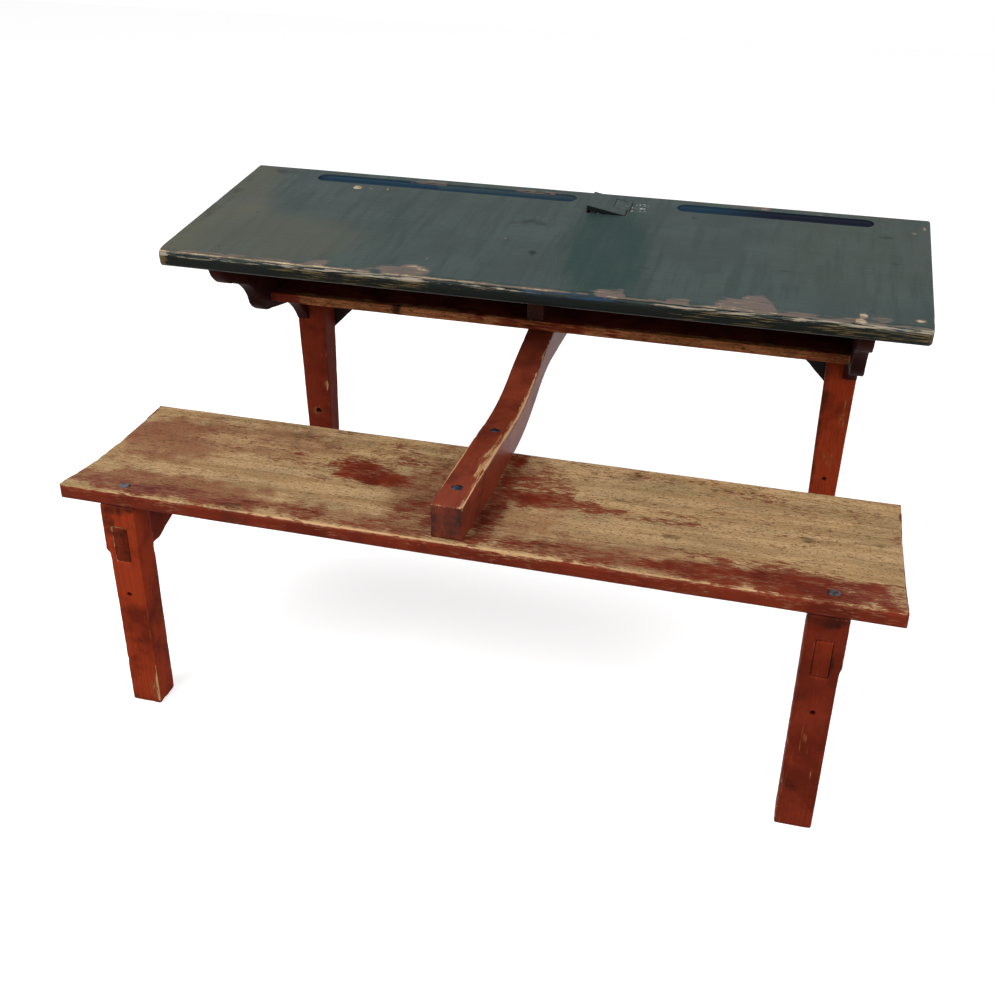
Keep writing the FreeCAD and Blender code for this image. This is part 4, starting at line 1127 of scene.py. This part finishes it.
@dataclass
class WritingTop(Assembly):
    """Sloping board that the pupils write on, with its pen grooves and rubbed front edge.

    Its plan runs along the front edge from the middle, and up the slope from the foremost line.
    """

    slope_deg: float = 6.2
    front_mm: tuple[float, float] = (-29.589, 625.0)
    groove_mm: tuple[float, float] = (345.0, 400.0)
    groove_gap_mm: tuple[float, float] = (20.0, 120.0)
    groove_end_mm: float = 560.0
    groove_floor_mm: float = -9.0
    groove_depth_mm: tuple[float, float] = (0.3, 1.6)
    groove_middle_mm: float = 378.0
    bared_mm: tuple[float, float] = (-250.0, 20.0)
    bared_share: float = 0.45
    navy_mm: tuple[float, float] = (230.0, 380.0)
    skin_mm: float = -3.0
    nose_mm: tuple[float, float] = (-1.2, -4.5)
    nose_reach_mm: float = 30.0
    rub_mm: float = -1.9
    rub_half_mm: float = 2.8
    half_long_mm: float = 600.0
    half_thick_mm: float = 14.0
    nose_round_mm: tuple[float, float] = (12.0, 8.0)
    end_round_mm: float = 2.4
    corner_round_mm: float = 8.0
    corner_reach_mm: float = 22.0
    end_lines: tuple[float, ...] = (0.6, 1.4, 2.4, 3.6, 6.2, 8.0)
    front_lines: tuple[float, ...] = (1.5, 3.2, 6.4, 8.2, 11.5)
    # Depths below the surface over which the front edge is painted darker, as shade where it turns under.
    low_mm: tuple[float, float] = (-6.0, -14.0)
    wear: Wear = Wear(arris=1.2, cell=5.0, wave=0.2, nick=1.0, nick_run=18.0)
    kept: float = 0.1
    rub: tuple[Patch, ...] = patches(
        (-420, 0, 260, 60, 0.95), (-120, 0, 140, 60, 0.95), (60, 0, 80, 60, 0.8), (180, 0, 60, 60, 0.75),
        (330, 0, 90, 60, 0.95), (480, 0, 70, 60, 0.65), (570, 0, 34, 60, 0.75), (-592, 0, 14, 40, 1.2),
    )
    rubbed: tuple[Patch, ...] = patches(
        (-195, 16, 50, 26, 0.72), (-178, 34, 28, 20, 0.72), (-325, 12, 24, 17, 0.7), (-470, 6, 170, 10, 0.6),
        (132, 12, 34, 18, 0.7), (152, 26, 14, 12, 0.66), (240, 10, 24, 17, 0.62), (335, 16, 56, 28, 0.74),
        (350, 40, 26, 26, 0.7), (440, 8, 70, 9, 0.6), (530, 18, 22, 12, 0.55), (-262, 389, 36, 9, 0.66),
        (300, 400, 70, 8, 0.62), (-62, 389, 60, 8, 0.56), (545, 385, 60, 22, 0.38),
    )
    chips: tuple[Patch, ...] = patches(
        (-380, 337, 9, 10, 1.2), (-356, 336, 4, 5, 1.0), (-325, 340, 4, 9, 0.9, 20), (502, 24, 6, 8, 1.3),
        (500, 6, 6, 8, 1.3), (580, 25, 7, 6, 1.1), (590, 366, 4, 9, 0.9), (574, 343, 5, 6, 0.9),
        (-262, 395, 10, 4, 0.95), (-72, 390, 7, 3, 0.85), (-36, 389, 5, 3, 0.85), (334, 394, 12, 3, 0.85),
        (424, 391, 9, 3, 0.85), (-66, 175, 3, 6, 0.9), (-165, 70, 3, 7, 0.8, 20),
    )
    # Patches of the blue-green painted reflection.
    teal_reflection: tuple[Patch, ...] = patches((105, 170, 80, 230, 0.8, 6), (-250, 130, 50, 180, 0.25, 10))
    olive: tuple[Patch, ...] = patches(
        (-565, 130, 110, 170, 0.75, 10), (-590, 300, 80, 150, 0.5), (-430, 90, 170, 120, 0.45),
        (500, 250, 180, 220, 0.2),
    )
    # Darkened patches of grime; the two in the left pen groove, 372 and 384 mm up the slope, are painted shadow in the
    # groove.
    soil_and_shade: tuple[Patch, ...] = patches(
        (-45, 245, 44, 24, 0.4), (-8, 128, 7, 14, 0.6, 20), (-535, 384, 24, 14, 0.45), (528, 316, 20, 8, 0.55),
        (553, 215, 18, 6, 0.45), (455, 222, 16, 5, 0.45), (385, 150, 20, 4, 0.42), (250, 195, 8, 4, 0.45),
        (178, 112, 10, 5, 0.42), (-20, 372, 34, 9, 0.45), (222, 328, 5, 11, 0.5), (-590, 200, 20, 180, 0.3),
    )
    gold: tuple[Patch, ...] = patches(
        (-470, 0, 160, 60, 0.5), (-250, 0, 170, 60, 1.15), (-60, 0, 90, 60, 0.4), (330, 0, 120, 60, 0.85),
        (520, 0, 120, 60, 1.1), (-600, 0, 18, 60, 2.3), (600, 0, 20, 60, 1.6),
    )
    blue: tuple[Patch, ...] = patches((75, 0, 90, 60, 0.9), (556, 0, 16, 60, 1.0), (-510, 0, 40, 60, 0.5))

    def plan(self, points: np.ndarray) -> tuple[np.ndarray, np.ndarray, np.ndarray]:
        """Work out where points lie on the top.

        Args:
            points: places in millimetres.

        Returns:
            How far they lie along the front edge, up the slope and above the surface.
        """
        cos, sin = math.cos(math.radians(self.slope_deg)), math.sin(math.radians(self.slope_deg))
        dy, dz = points[:, 1] - self.front_mm[0], points[:, 2] - self.front_mm[1]
        return points[:, 0], dy * cos + dz * sin, dz * cos - dy * sin

    def build(self) -> None:
        """Make the top and dress it."""
        board = Board(
            "desk_top",
            "writing_top_board",
            Slot.GREEN,
            self.wear,
            turn_deg=self.slope_deg,
            end_lines=self.end_lines,
            front_lines=self.front_lines,
        )
        piece = board.build(self.nodes)
        self.round_over(piece, board)
        x, up, above = self.plan(board.points)
        groove = ramp(-above, *self.groove_depth_mm) * (above > self.groove_floor_mm)
        groove *= (up > self.groove_mm[0]) * (up < self.groove_mm[1]) * (np.abs(x) < self.groove_end_mm)
        groove *= (x < self.groove_gap_mm[0]) | (x > self.groove_gap_mm[1])
        bared = (up > self.groove_middle_mm) & (x > self.bared_mm[0]) & (x < self.bared_mm[1])
        front = (up < self.nose_reach_mm).astype(float)
        line = np.clip(1.0 - np.abs(above - self.rub_mm) / self.rub_half_mm, 0, 1) * front
        skin = above > self.skin_mm
        plan = (x, up)
        bare = np.maximum(board.spread(plan, self.rubbed, where=skin), line * board.spread(plan, self.rub))
        soft = {"teal_reflection": self.teal_reflection, "olive": self.olive, "gold": self.gold, "blue": self.blue}
        board.finish(
            piece,
            self.finish("green oil paint, brushed over blue on pine", 0.62).material(),
            groove=groove * np.where(bared, self.bared_share, 1.0),
            navy=groove * ramp(x, *self.navy_mm),
            nose=ramp(above, *self.nose_mm) * front,
            low=ramp(above, *self.low_mm) * front,
            bare=board.spread(plan, self.chips, bare, skin),
            soil_and_shade=board.spread(plan, self.soil_and_shade),
            **{name: board.spread(plan, laid, ragged=0.0) for name, laid in soft.items()},
        )

    def round_over(self, piece: Piece, board: Board) -> None:
        """Round the front edge and both ends over, as years of sleeves have.

        Args:
            piece: piece of the top.
            board: board that it was made from, whose points are kept in step.
        """
        cos, sin = math.cos(math.radians(self.slope_deg)), math.sin(math.radians(self.slope_deg))
        x, up, above = self.plan(board.points)
        level = above + self.half_thick_mm
        radius = np.where(level > 0.0, *self.nose_round_mm)
        back = np.maximum(radius - up, 0.0)
        off = np.maximum(np.abs(level) - self.half_thick_mm + radius, 0.0)
        reach = np.maximum(np.hypot(back, off), LEAST_MM)
        corner = np.clip(1.0 - up / self.corner_reach_mm, 0.0, 1.0)
        end = self.end_round_mm + (self.corner_round_mm - self.end_round_mm) * corner
        along = np.clip(np.abs(x) - self.half_long_mm + end, 0.0, end)
        inset = end - np.sqrt(end * end - along * along)
        push = np.maximum(reach - radius - self.wear.wave + inset, 0.0) / reach
        moves = np.outer(push * back, (0.0, cos, sin)) - np.outer(np.sign(level) * push * off, (0.0, -sin, cos))
        board.points = board.points + moves
        piece.data.vertices.foreach_set("co", (board.points * MM).ravel())
        piece.data.update()

    def finish(self, name: str, rubbed: float) -> GreenTopPaint:
        """Choose the green finish of the top and of the flap in it.

        Args:
            name: name of the finish.
            rubbed: how far it is rubbed at the arrises.

        Returns:
            The finish.
        """
        return GreenTopPaint(
            # Dark green oil paint, wiped and faded: a dull grey-green skin with a weak sheen.
            name=name,
            coat="#3d4946",
            coat_dark="#323d3b",
            coat_thin="#6b7069",
            wood="#c2b394",
            wood_dark="#a08e6d",
            grime="#8a7a68",
            grain=Grain.ALONG_X,
            # Near black: grime, and painted shade on the flap's sides and in the pen grooves.
            dirt_and_shade="#0c0d0c",
            coat_roughness=0.46,
            gleam=0.06,
            rubbed_mm=5.0,
            rubbed=rubbed,
            fibre_loss=1.0,
            patch_loss=0.8,
            kept=self.kept,
            bare_from=0.68,
            bare_to=0.78,
        )


@dataclass
class InkwellFlap(Assembly):
    """Small flap over the ink pot, with its hinge, screws and the pot itself."""

    top: WritingTop
    wear: Wear = Wear(arris=0.9, cell=4.0, wave=0.1, nick=0.5, nick_run=9.0)
    # The leaf on the top is rubbed bright in spots by the flap falling open on it, the other has kept its paint.
    fittings: tuple[tuple[Finish, tuple[str, ...]], ...] = (
        (
            PaintedSteel("mild steel hinge leaf, rolled, painted and rubbed bright", worn_from=0.63),
            ("flap_hinge_fixed_leaf",),
        ),
        (PaintedSteel("drawn steel hinge screws, painted and rubbed bright", worn_from=0.6), ("fixed_leaf_screws",)),
        (
            PaintedSteel("mild steel hinge leaf, rolled, painted over", worn_from=0.72),
            ("flap_hinge_moving_leaf", "moving_leaf_screws"),
        ),
        (
            DullSteel("drawn steel hinge pin, rubbed bright", steel="#b9bcc0", dark="#6c7076", roughness=0.3),
            ("flap_hinge_pin",),
        ),
        (InkStainedGlaze("white glazed earthenware, dipped"), ("ink_pot",)),
    )
    # The sides and the underside of the flap are painted black as shade, for the dark gap under the raised flap.
    shade_normal: tuple[float, float] = (0.9, 0.55)
    painted_shade: float = 1.6

    def build(self) -> None:
        """Make the flap and dress it, its hinge and the pot."""
        board = Board("inkwell_flap", "inkwell_flap_board", Slot.GREEN, self.wear, Body.FLAP)
        piece = board.build(self.nodes)
        paint = self.top.finish("green oil paint, brushed on the small flap", 0.0)
        # Faces turned away from the flap's top are darkened to near black: painted shade.
        board.finish(piece, paint.material(), soil_and_shade=self.painted_shade * ramp(board.normals[:, 2], *self.shade_normal))
        for finish, names in self.fittings:
            dress_nodes(self.nodes, finish, names)
        LOG.info("dressed the hinge and the ink pot")


@dataclass
class BookBox(Assembly):
    """Box for books under the top: shaped end boards, shelf, divider and back."""

    ends: tuple[str, ...] = ("left_end_board", "right_end_board")
    inner: tuple[str, ...] = ("centre_divider", "back_board")
    wear: Wear = Wear(arris=1.6, cell=9.0)
    shelf_wear: Wear = Wear(arris=1.8, cell=6.0, nick=1.4)
    shelf_bare: tuple[Patch, ...] = patches(
        (-300, 0, 260, 16, 0.85), (300, 0, 260, 16, 0.8), (-10, 0, 70, 16, 0.25), (470, 0, 50, 16, 0.5),
        (-480, 0, 46, 16, 0.1),
    )
    shelf_soil: tuple[Patch, ...] = patches((-262, -2, 12, 12, 0.8))

    def build(self) -> None:
        """Make the boards of the box and dress them."""
        for finish, names in ((MAROON, self.ends), (INNER_MAROON, self.inner)):
            material = finish.material()
            for node in names:
                make_plain(self.nodes, node, Slot.MAROON, self.wear, material)
        board = Board("book_shelf", "book_shelf_board", Slot.PINE, self.shelf_wear)
        piece = board.build(self.nodes)
        low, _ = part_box("book_shelf")
        plan = (board.points[:, 0], board.points[:, 1] - low.y / MM)
        bare = board.spread(plan, self.shelf_bare)
        board.finish(piece, SHELF_RED.material(), bare=bare, soil_and_shade=board.spread(plan, self.shelf_soil))


@dataclass
class DeskLegs(Assembly):
    """Two tapered legs of the desk and the dark corner pieces behind them."""

    gussets: tuple[str, ...] = ("left_corner_gusset", "right_corner_gusset")
    wear: Wear = Wear(arris=2.2, cell=7.0, wave=0.35, nick=1.4)
    gusset_wear: Wear = Wear(arris=1.0, cell=9.0)
    # Coat colours differ from leg to leg as painted light and shade, and the darkened patch at the top of each leg is
    # painted shade under the top.
    legs: tuple[Leg, ...] = (
        Leg(
            "left_desk_leg",
            "#742b19",
            bare=patches((-490, 200, 13, 13, 0.7), (-470, 262, 4, 14, 0.9), (-500, 120, 5, 40, 0.5)),
            soil_and_shade=patches((-500, 400, 40, 60, 0.35), (-490, 30, 40, 40, 0.35), (-480, 150, 10, 22, 0.4)),
        ),
        Leg(
            "right_desk_leg",
            "#8d3319",
            bare=patches(
                (500, 235, 12, 34, 0.42), (496, 196, 9, 9, 0.5), (478, 120, 4, 60, 0.6), (512, 330, 4, 40, 0.55),
            ),
            soil_and_shade=patches((500, 400, 40, 60, 0.3), (496, 30, 40, 40, 0.35), (474, 290, 7, 130, 0.5)),
        ),
    )

    def build(self) -> None:
        """Make the legs and corner pieces and dress them."""
        for leg in self.legs:
            leg.build(self.nodes, self.wear)
        black = CORNER_MAROON.material()
        for node in self.gussets:
            make_plain(self.nodes, node, Slot.MAROON, self.gusset_wear, black)


@dataclass
class LinkBeam(Assembly):
    """S-shaped beam that ties the bench to the desk."""

    wear: Wear = Wear(arris=2.4, cell=5.0, wave=0.35, nick=1.2)
    strip: tuple[Patch, ...] = patches(
        (8, -215, 8, 110, 0.95), (11, -80, 5, 180, 0.8), (11, -330, 5, 40, 0.7), (-30, -240, 4, 90, 0.6),
    )
    soil_and_shade: tuple[Patch, ...] = patches((-9, -366, 60, 30, 0.62))

    def build(self) -> None:
        """Make the beam and dress it."""
        board = Board("centre_beam", "link_beam_worn", Slot.RED, self.wear)
        piece = board.build(self.nodes)
        plan = (board.points[:, 0], board.points[:, 1])
        bare = board.spread(plan, self.strip, where=board.normals[:, 2] > LEANING)
        soil_and_shade = board.spread(plan, self.soil_and_shade, where=board.normals[:, 1] < -SQUARE_ON)
        board.finish(piece, BEAM_RED.material(), bare=bare, soil_and_shade=soil_and_shade)


@dataclass
class Bench(Assembly):
    """Bench with its dished seat, stepped legs and tenoned bearers.

    The seat's plan runs along it from the middle, and back from its front edge.
    """

    seat_wear: Wear = Wear(arris=2.6, cell=5.0, wave=0.4, nick=1.6, nick_run=20.0)
    leg_wear: Wear = Wear(arris=2.8, cell=7.0, wave=0.4, nick=1.4)
    bearer_wear: Wear = Wear(arris=1.4, cell=8.0)
    bearers: tuple[tuple[str, float], ...] = (("left_seat_bearer", 0.5), ("right_seat_bearer", 0.05))
    bearer_rubbed: float = 0.2
    tenon_mm: float = 6.0
    seat_high_mm: float = 377.0
    seat_bare: float = 0.92
    face_bare: float = -0.22
    rub_mm: float = 3.5
    rub_half_mm: float = 3.6
    rub_drop_mm: float = 5.0
    rub_least: float = 0.1
    top_normal: float = 0.75
    rub_bare: tuple[Patch, ...] = patches(
        (-450, 0, 130, 60, 0.3), (-170, 0, 190, 60, 0.85), (120, 0, 140, 60, 0.6), (330, 0, 130, 60, 0.55),
        (520, 0, 80, 60, 0.3),
    )
    paint_left: tuple[Patch, ...] = patches(
        (-555, 190, 90, 75, 0.76), (-440, 225, 130, 70, 0.8), (-310, 215, 90, 70, 0.8), (-480, 62, 130, 36, 0.66),
        (-320, 48, 130, 24, 0.74), (-420, 27, 260, 24, 0.25), (-130, 24, 190, 18, 0.45), (-205, 198, 46, 26, -0.05),
        (-165, 168, 76, 25, -0.1), (-85, 153, 50, 7, 0.25), (-80, 120, 44, 150, 0.55), (-50, 150, 14, 160, 0.2),
        (-150, 235, 70, 40, 0.6),
    )
    paint_right: tuple[Patch, ...] = patches(
        (28, 150, 20, 190, 0.05), (85, 170, 95, 24, 0.08), (175, 164, 70, 15, 0.22), (270, 160, 90, 9, 0.5),
        (75, 218, 60, 42, 0.5), (165, 30, 160, 26, 0.4), (330, 34, 80, 32, 0.1), (480, 36, 170, 44, -0.02),
        (420, 78, 120, 18, 0.55), (120, 40, 30, 16, 0.3), (355, 60, 22, 18, 0.2), (350, 270, 260, 30, 0.78),
        (592, 46, 20, 34, 0.75),
    )
    stain: tuple[Patch, ...] = patches(
        (-520, 195, 120, 90, 0.75), (-350, 230, 140, 60, 0.5), (-440, 48, 210, 44, 0.8), (-150, 30, 180, 26, 0.55),
        (-80, 130, 60, 180, 0.6), (60, 150, 90, 170, 0.5), (330, 40, 300, 44, 0.6),
    )
    soil_and_shade: tuple[Patch, ...] = patches(
        (468, 165, 16, 9, 0.8), (530, 172, 80, 4, 0.5, 6), (285, 118, 16, 10, 0.6), (357, 62, 9, 8, 0.7),
        (118, 40, 8, 9, 0.6), (-315, 255, 110, 44, 0.3), (-225, 262, 60, 24, 0.3), (-480, 265, 120, 26, 0.25),
        (270, 270, 140, 20, 0.42), (-95, 235, 44, 56, 0.36), (-85, 110, 36, 30, 0.32), (-555, 112, 44, 16, 0.3),
        (-330, 18, 24, 9, 0.5), (-190, 148, 150, 4, 0.45), (330, 163, 240, 4, 0.4), (-322, 0, 20, 14, 0.42),
    )
    # Coat colours differ from leg to leg as painted light and shade, and the darkened patches at the top of each leg
    # are painted shade under the seat.
    legs: tuple[Leg, ...] = (
        Leg(
            "left_bench_leg",
            "#94361c",
            bare=patches((-484, 30, 9, 32, 0.8), (-512, 317, 22, 4, 0.9), (-486, 130, 4, 24, 0.45)),
            soil_and_shade=patches(
                (-528, 326, 14, 30, 0.6), (-498, 170, 18, 40, 0.15), (-500, 66, 7, 8, 0.5), (-510, 8, 40, 14, 0.4),
                (-508, 350, 40, 14, 0.6),
            ),
            front_only=True,
        ),
        Leg(
            "right_bench_leg",
            "#782c1a",
            bare=patches((500, 150, 3, 26, 0.6, 8), (516, 90, 3, 20, 0.6, -8), (480, 60, 5, 60, 0.35)),
            soil_and_shade=patches(
                (514, 280, 9, 24, 0.8), (492, 60, 30, 50, 0.35), (505, 350, 40, 14, 0.6), (490, 200, 14, 40, 0.35),
            ),
            front_only=True,
        ),
    )

    def build(self) -> None:
        """Make the bench and dress it."""
        self.build_seat()
        for leg in self.legs:
            leg.build(self.nodes, self.leg_wear)
        for node, soil_and_shade in self.bearers:
            self.build_bearer(node, soil_and_shade)

    def build_bearer(self, node: str, soil_and_shade: float) -> None:
        """Make a bearer, whose tenon shows dark end grain in front of the leg, and dress it.

        Args:
            node: name of the bearer's CAD node.
            soil_and_shade: how dark its end grain is.
        """
        board = Board(node, f"{node}_worn", Slot.RED, self.bearer_wear)
        piece = board.build(self.nodes)
        ahead = board.points[:, 1] < board.points[:, 1].min() + self.tenon_mm
        paint = replace(RED_OXIDE, name=f"red oxide oil paint, brushed on the {node}", rubbed=self.bearer_rubbed)
        board.finish(piece, paint.material(), soil_and_shade=soil_and_shade * (board.normals[:, 1] < -SQUARE_ON) * ahead)

    def build_seat(self) -> None:
        """Make the seat and dress it."""
        board = Board("bench_seat", "bench_seat_board", Slot.PINE, self.seat_wear)
        piece = board.build(self.nodes)
        low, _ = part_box("bench_seat")
        back = board.points[:, 1] - low.y / MM
        plan = (board.points[:, 0], back)
        bare = board.spread(plan, (*self.paint_left, *self.paint_right), self.seat_bare)
        bare = np.where(board.normals[:, 2] > self.top_normal, bare, self.face_bare)
        line = np.clip(1.0 - np.abs(back - self.rub_mm) / self.rub_half_mm, 0.0, 1.0)
        line *= board.points[:, 2] > self.seat_high_mm - self.rub_drop_mm
        worn = board.spread(plan, self.rub_bare, self.rub_least, ragged=0.0)
        board.finish(
            piece,
            SEAT_PINE.material(),
            bare=bare + (np.maximum(bare, worn) - bare) * line,
            fresh=line * worn,
            soil_and_shade=board.spread(plan, self.soil_and_shade),
            stain=board.spread(plan, self.stain),
        )


@dataclass
class Fastenings(Assembly):
    """Bolts, washers, nuts, screws and nails, which keep their CAD shapes."""

    fittings: tuple[tuple[Finish, tuple[str, ...]], ...] = (
        (
            DullSteel("blued steel bolts, forged and dulled", steel="#454e5b", dark="#1d2229"),
            ("beam_bolts", "beam_washers", "beam_nuts"),
        ),
        (DullSteel("drawn steel seat screws, rubbed by sitting", steel="#65656b", dark="#332c2b"), ("seat_screws",)),
        (
            DullSteel("drawn steel nails and screws, rusting", steel="#4a4a4c", dark="#2a2320", roughness=0.5),
            ("beam_shelf_screws", "end_board_screws", "shelf_nails", "back_board_nails", "gusset_screws"),
        ),
        (PaintedSteel("drawn steel nails, painted over", worn_from=0.9), ("top_nails",)),
    )

    def build(self) -> None:
        """Dress the fastenings."""
        for finish, names in self.fittings:
            dress_nodes(self.nodes, finish, names)
        LOG.info("dressed the fastenings")


@dataclass
class Studio:
    """Pale floor, soft light and the camera at the photograph's place."""

    eye_m: tuple[float, float, float] = (0.4212, -1.735389, 1.2324)
    azimuth_deg: float = 14.702
    pitch_deg: float = 28.830
    roll_deg: float = 0.928
    focal_px: float = 1222.73
    floor_m: float = 14.0
    floor_colour: str = "#9c9a97"
    floor_shown: str = "#fbfbfb"
    floor_glow: float = 0.55
    white: str = "#ffffff"
    ambient: float = 0.42
    key_m: tuple[float, float, float] = (-1.6, -2.4, 3.1)
    key_size_m: float = 2.4
    key_watts: float = 116.0
    fill_m: tuple[float, float, float] = (2.5, -1.4, 1.7)
    fill_size_m: float = 2.0
    fill_watts: float = 50.0
    aim_m: tuple[float, float, float] = (0.0, 0.0, 0.4)

    def build(self) -> None:
        """Set up the floor, the light and the camera."""
        bpy.context.scene.view_settings.view_transform = "Standard"
        self.lay_floor()
        self.light()
        self.aim_camera()
        LOG.info("set up the studio")

    def seen(self, tree: Tree) -> Socket:
        """Tell the rays that look at the surface from those that only carry light.

        Args:
            tree: node tree that takes the nodes.

        Returns:
            A socket that is one where the camera, a mirror or glass looks at the surface.
        """
        rays = add_node(tree, "ShaderNodeLightPath").node.outputs
        first = {0: rays["Is Camera Ray"], 1: rays["Is Glossy Ray"]}
        either = add_node(tree, "ShaderNodeMath", first, operation="MAXIMUM")
        return add_node(tree, "ShaderNodeMath", {0: either, 1: rays["Is Transmission Ray"]}, operation="MAXIMUM")

    def lay_floor(self) -> None:
        """Lay the pale floor, which shows near white with the object's shadow on it."""
        half = self.floor_m / 2
        data = bpy.data.meshes.new("floor")
        data.from_pydata([(-half, -half, 0), (half, -half, 0), (half, half, 0), (-half, half, 0)], [], [(0, 1, 2, 3)])
        floor = bpy.data.objects.new("floor", data)
        bpy.context.scene.collection.objects.link(floor)
        material, tree = new_tree("matt pale studio floor")
        grey = add_node(tree, "ShaderNodeBsdfDiffuse", {"Color": linear(self.floor_colour)})
        white = add_node(tree, "ShaderNodeBsdfDiffuse", {"Color": linear(self.floor_shown)})
        glow = add_node(tree, "ShaderNodeEmission", {"Color": linear(self.white), "Strength": self.floor_glow})
        lit = add_node(tree, "ShaderNodeAddShader", {0: white, 1: glow})
        shown = add_node(tree, "ShaderNodeMixShader", {0: self.seen(tree), 1: grey, 2: lit})
        add_node(tree, "ShaderNodeOutputMaterial", {"Surface": shown})
        data.materials.append(material)

    def light(self) -> None:
        """Hang a large soft lamp at the left front, a weak one at the right, and light the rest by the white room."""
        self.hang("key", self.key_m, self.key_size_m, self.key_watts)
        self.hang("fill", self.fill_m, self.fill_size_m, self.fill_watts)
        world = bpy.data.worlds.new("white room")
        bpy.context.scene.world = world
        world.use_nodes = True
        tree = world.node_tree
        tree.nodes.clear()
        room = add_node(tree, "ShaderNodeBackground", {"Color": linear(self.white), "Strength": self.ambient})
        sky = add_node(tree, "ShaderNodeBackground", {"Color": linear(self.white), "Strength": 1.0})
        shown = add_node(tree, "ShaderNodeMixShader", {0: self.seen(tree), 1: room, 2: sky})
        add_node(tree, "ShaderNodeOutputWorld", {"Surface": shown})

    def hang(self, name: str, place: tuple[float, float, float], size: float, watts: float) -> None:
        """Hang a soft square lamp that shines on the desk.

        Args:
            name: name of the lamp.
            place: where it hangs, in metres.
            size: length of its sides, in metres.
            watts: its power.
        """
        light = bpy.data.lights.new(name, "AREA")
        light.energy = watts
        light.size = size
        lamp = bpy.data.objects.new(name, light)
        bpy.context.scene.collection.objects.link(lamp)
        lamp.location = place
        lamp.rotation_euler = (Vector(self.aim_m) - Vector(place)).to_track_quat("-Z", "Y").to_euler()

    def aim_camera(self) -> None:
        """Put the camera where the photograph was taken from."""
        turn, dip, roll = (math.radians(a) for a in (self.azimuth_deg, self.pitch_deg, self.roll_deg))
        ahead = Vector((-math.sin(turn) * math.cos(dip), math.cos(turn) * math.cos(dip), -math.sin(dip)))
        level = Vector((math.cos(turn), math.sin(turn), 0.0))
        over = level.cross(ahead)
        right = math.cos(roll) * level + math.sin(roll) * over
        up = math.cos(roll) * over - math.sin(roll) * level
        lens = bpy.data.cameras.new("camera")
        lens.sensor_width = SENSOR_MM
        lens.sensor_fit = "HORIZONTAL"
        lens.lens = SENSOR_MM * self.focal_px / IMAGE_WIDTH_PX
        camera = bpy.data.objects.new("camera", lens)
        bpy.context.scene.collection.objects.link(camera)
        axes = Matrix((right, up, -ahead)).transposed().to_4x4()
        camera.matrix_world = Matrix.Translation(self.eye_m) @ axes
        bpy.context.scene.camera = camera


def main() -> None:
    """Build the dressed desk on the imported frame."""
    logging.basicConfig(level=logging.INFO)
    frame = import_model()
    nodes = frame["nodes"]
    Studio().build()
    top = WritingTop(nodes)
    others = (kind(nodes) for kind in (BookBox, DeskLegs, LinkBeam, Bench, Fastenings))
    for assembly in (top, InkwellFlap(nodes, top), *others):
        assembly.build()


if __name__ == "__main__":
    main()
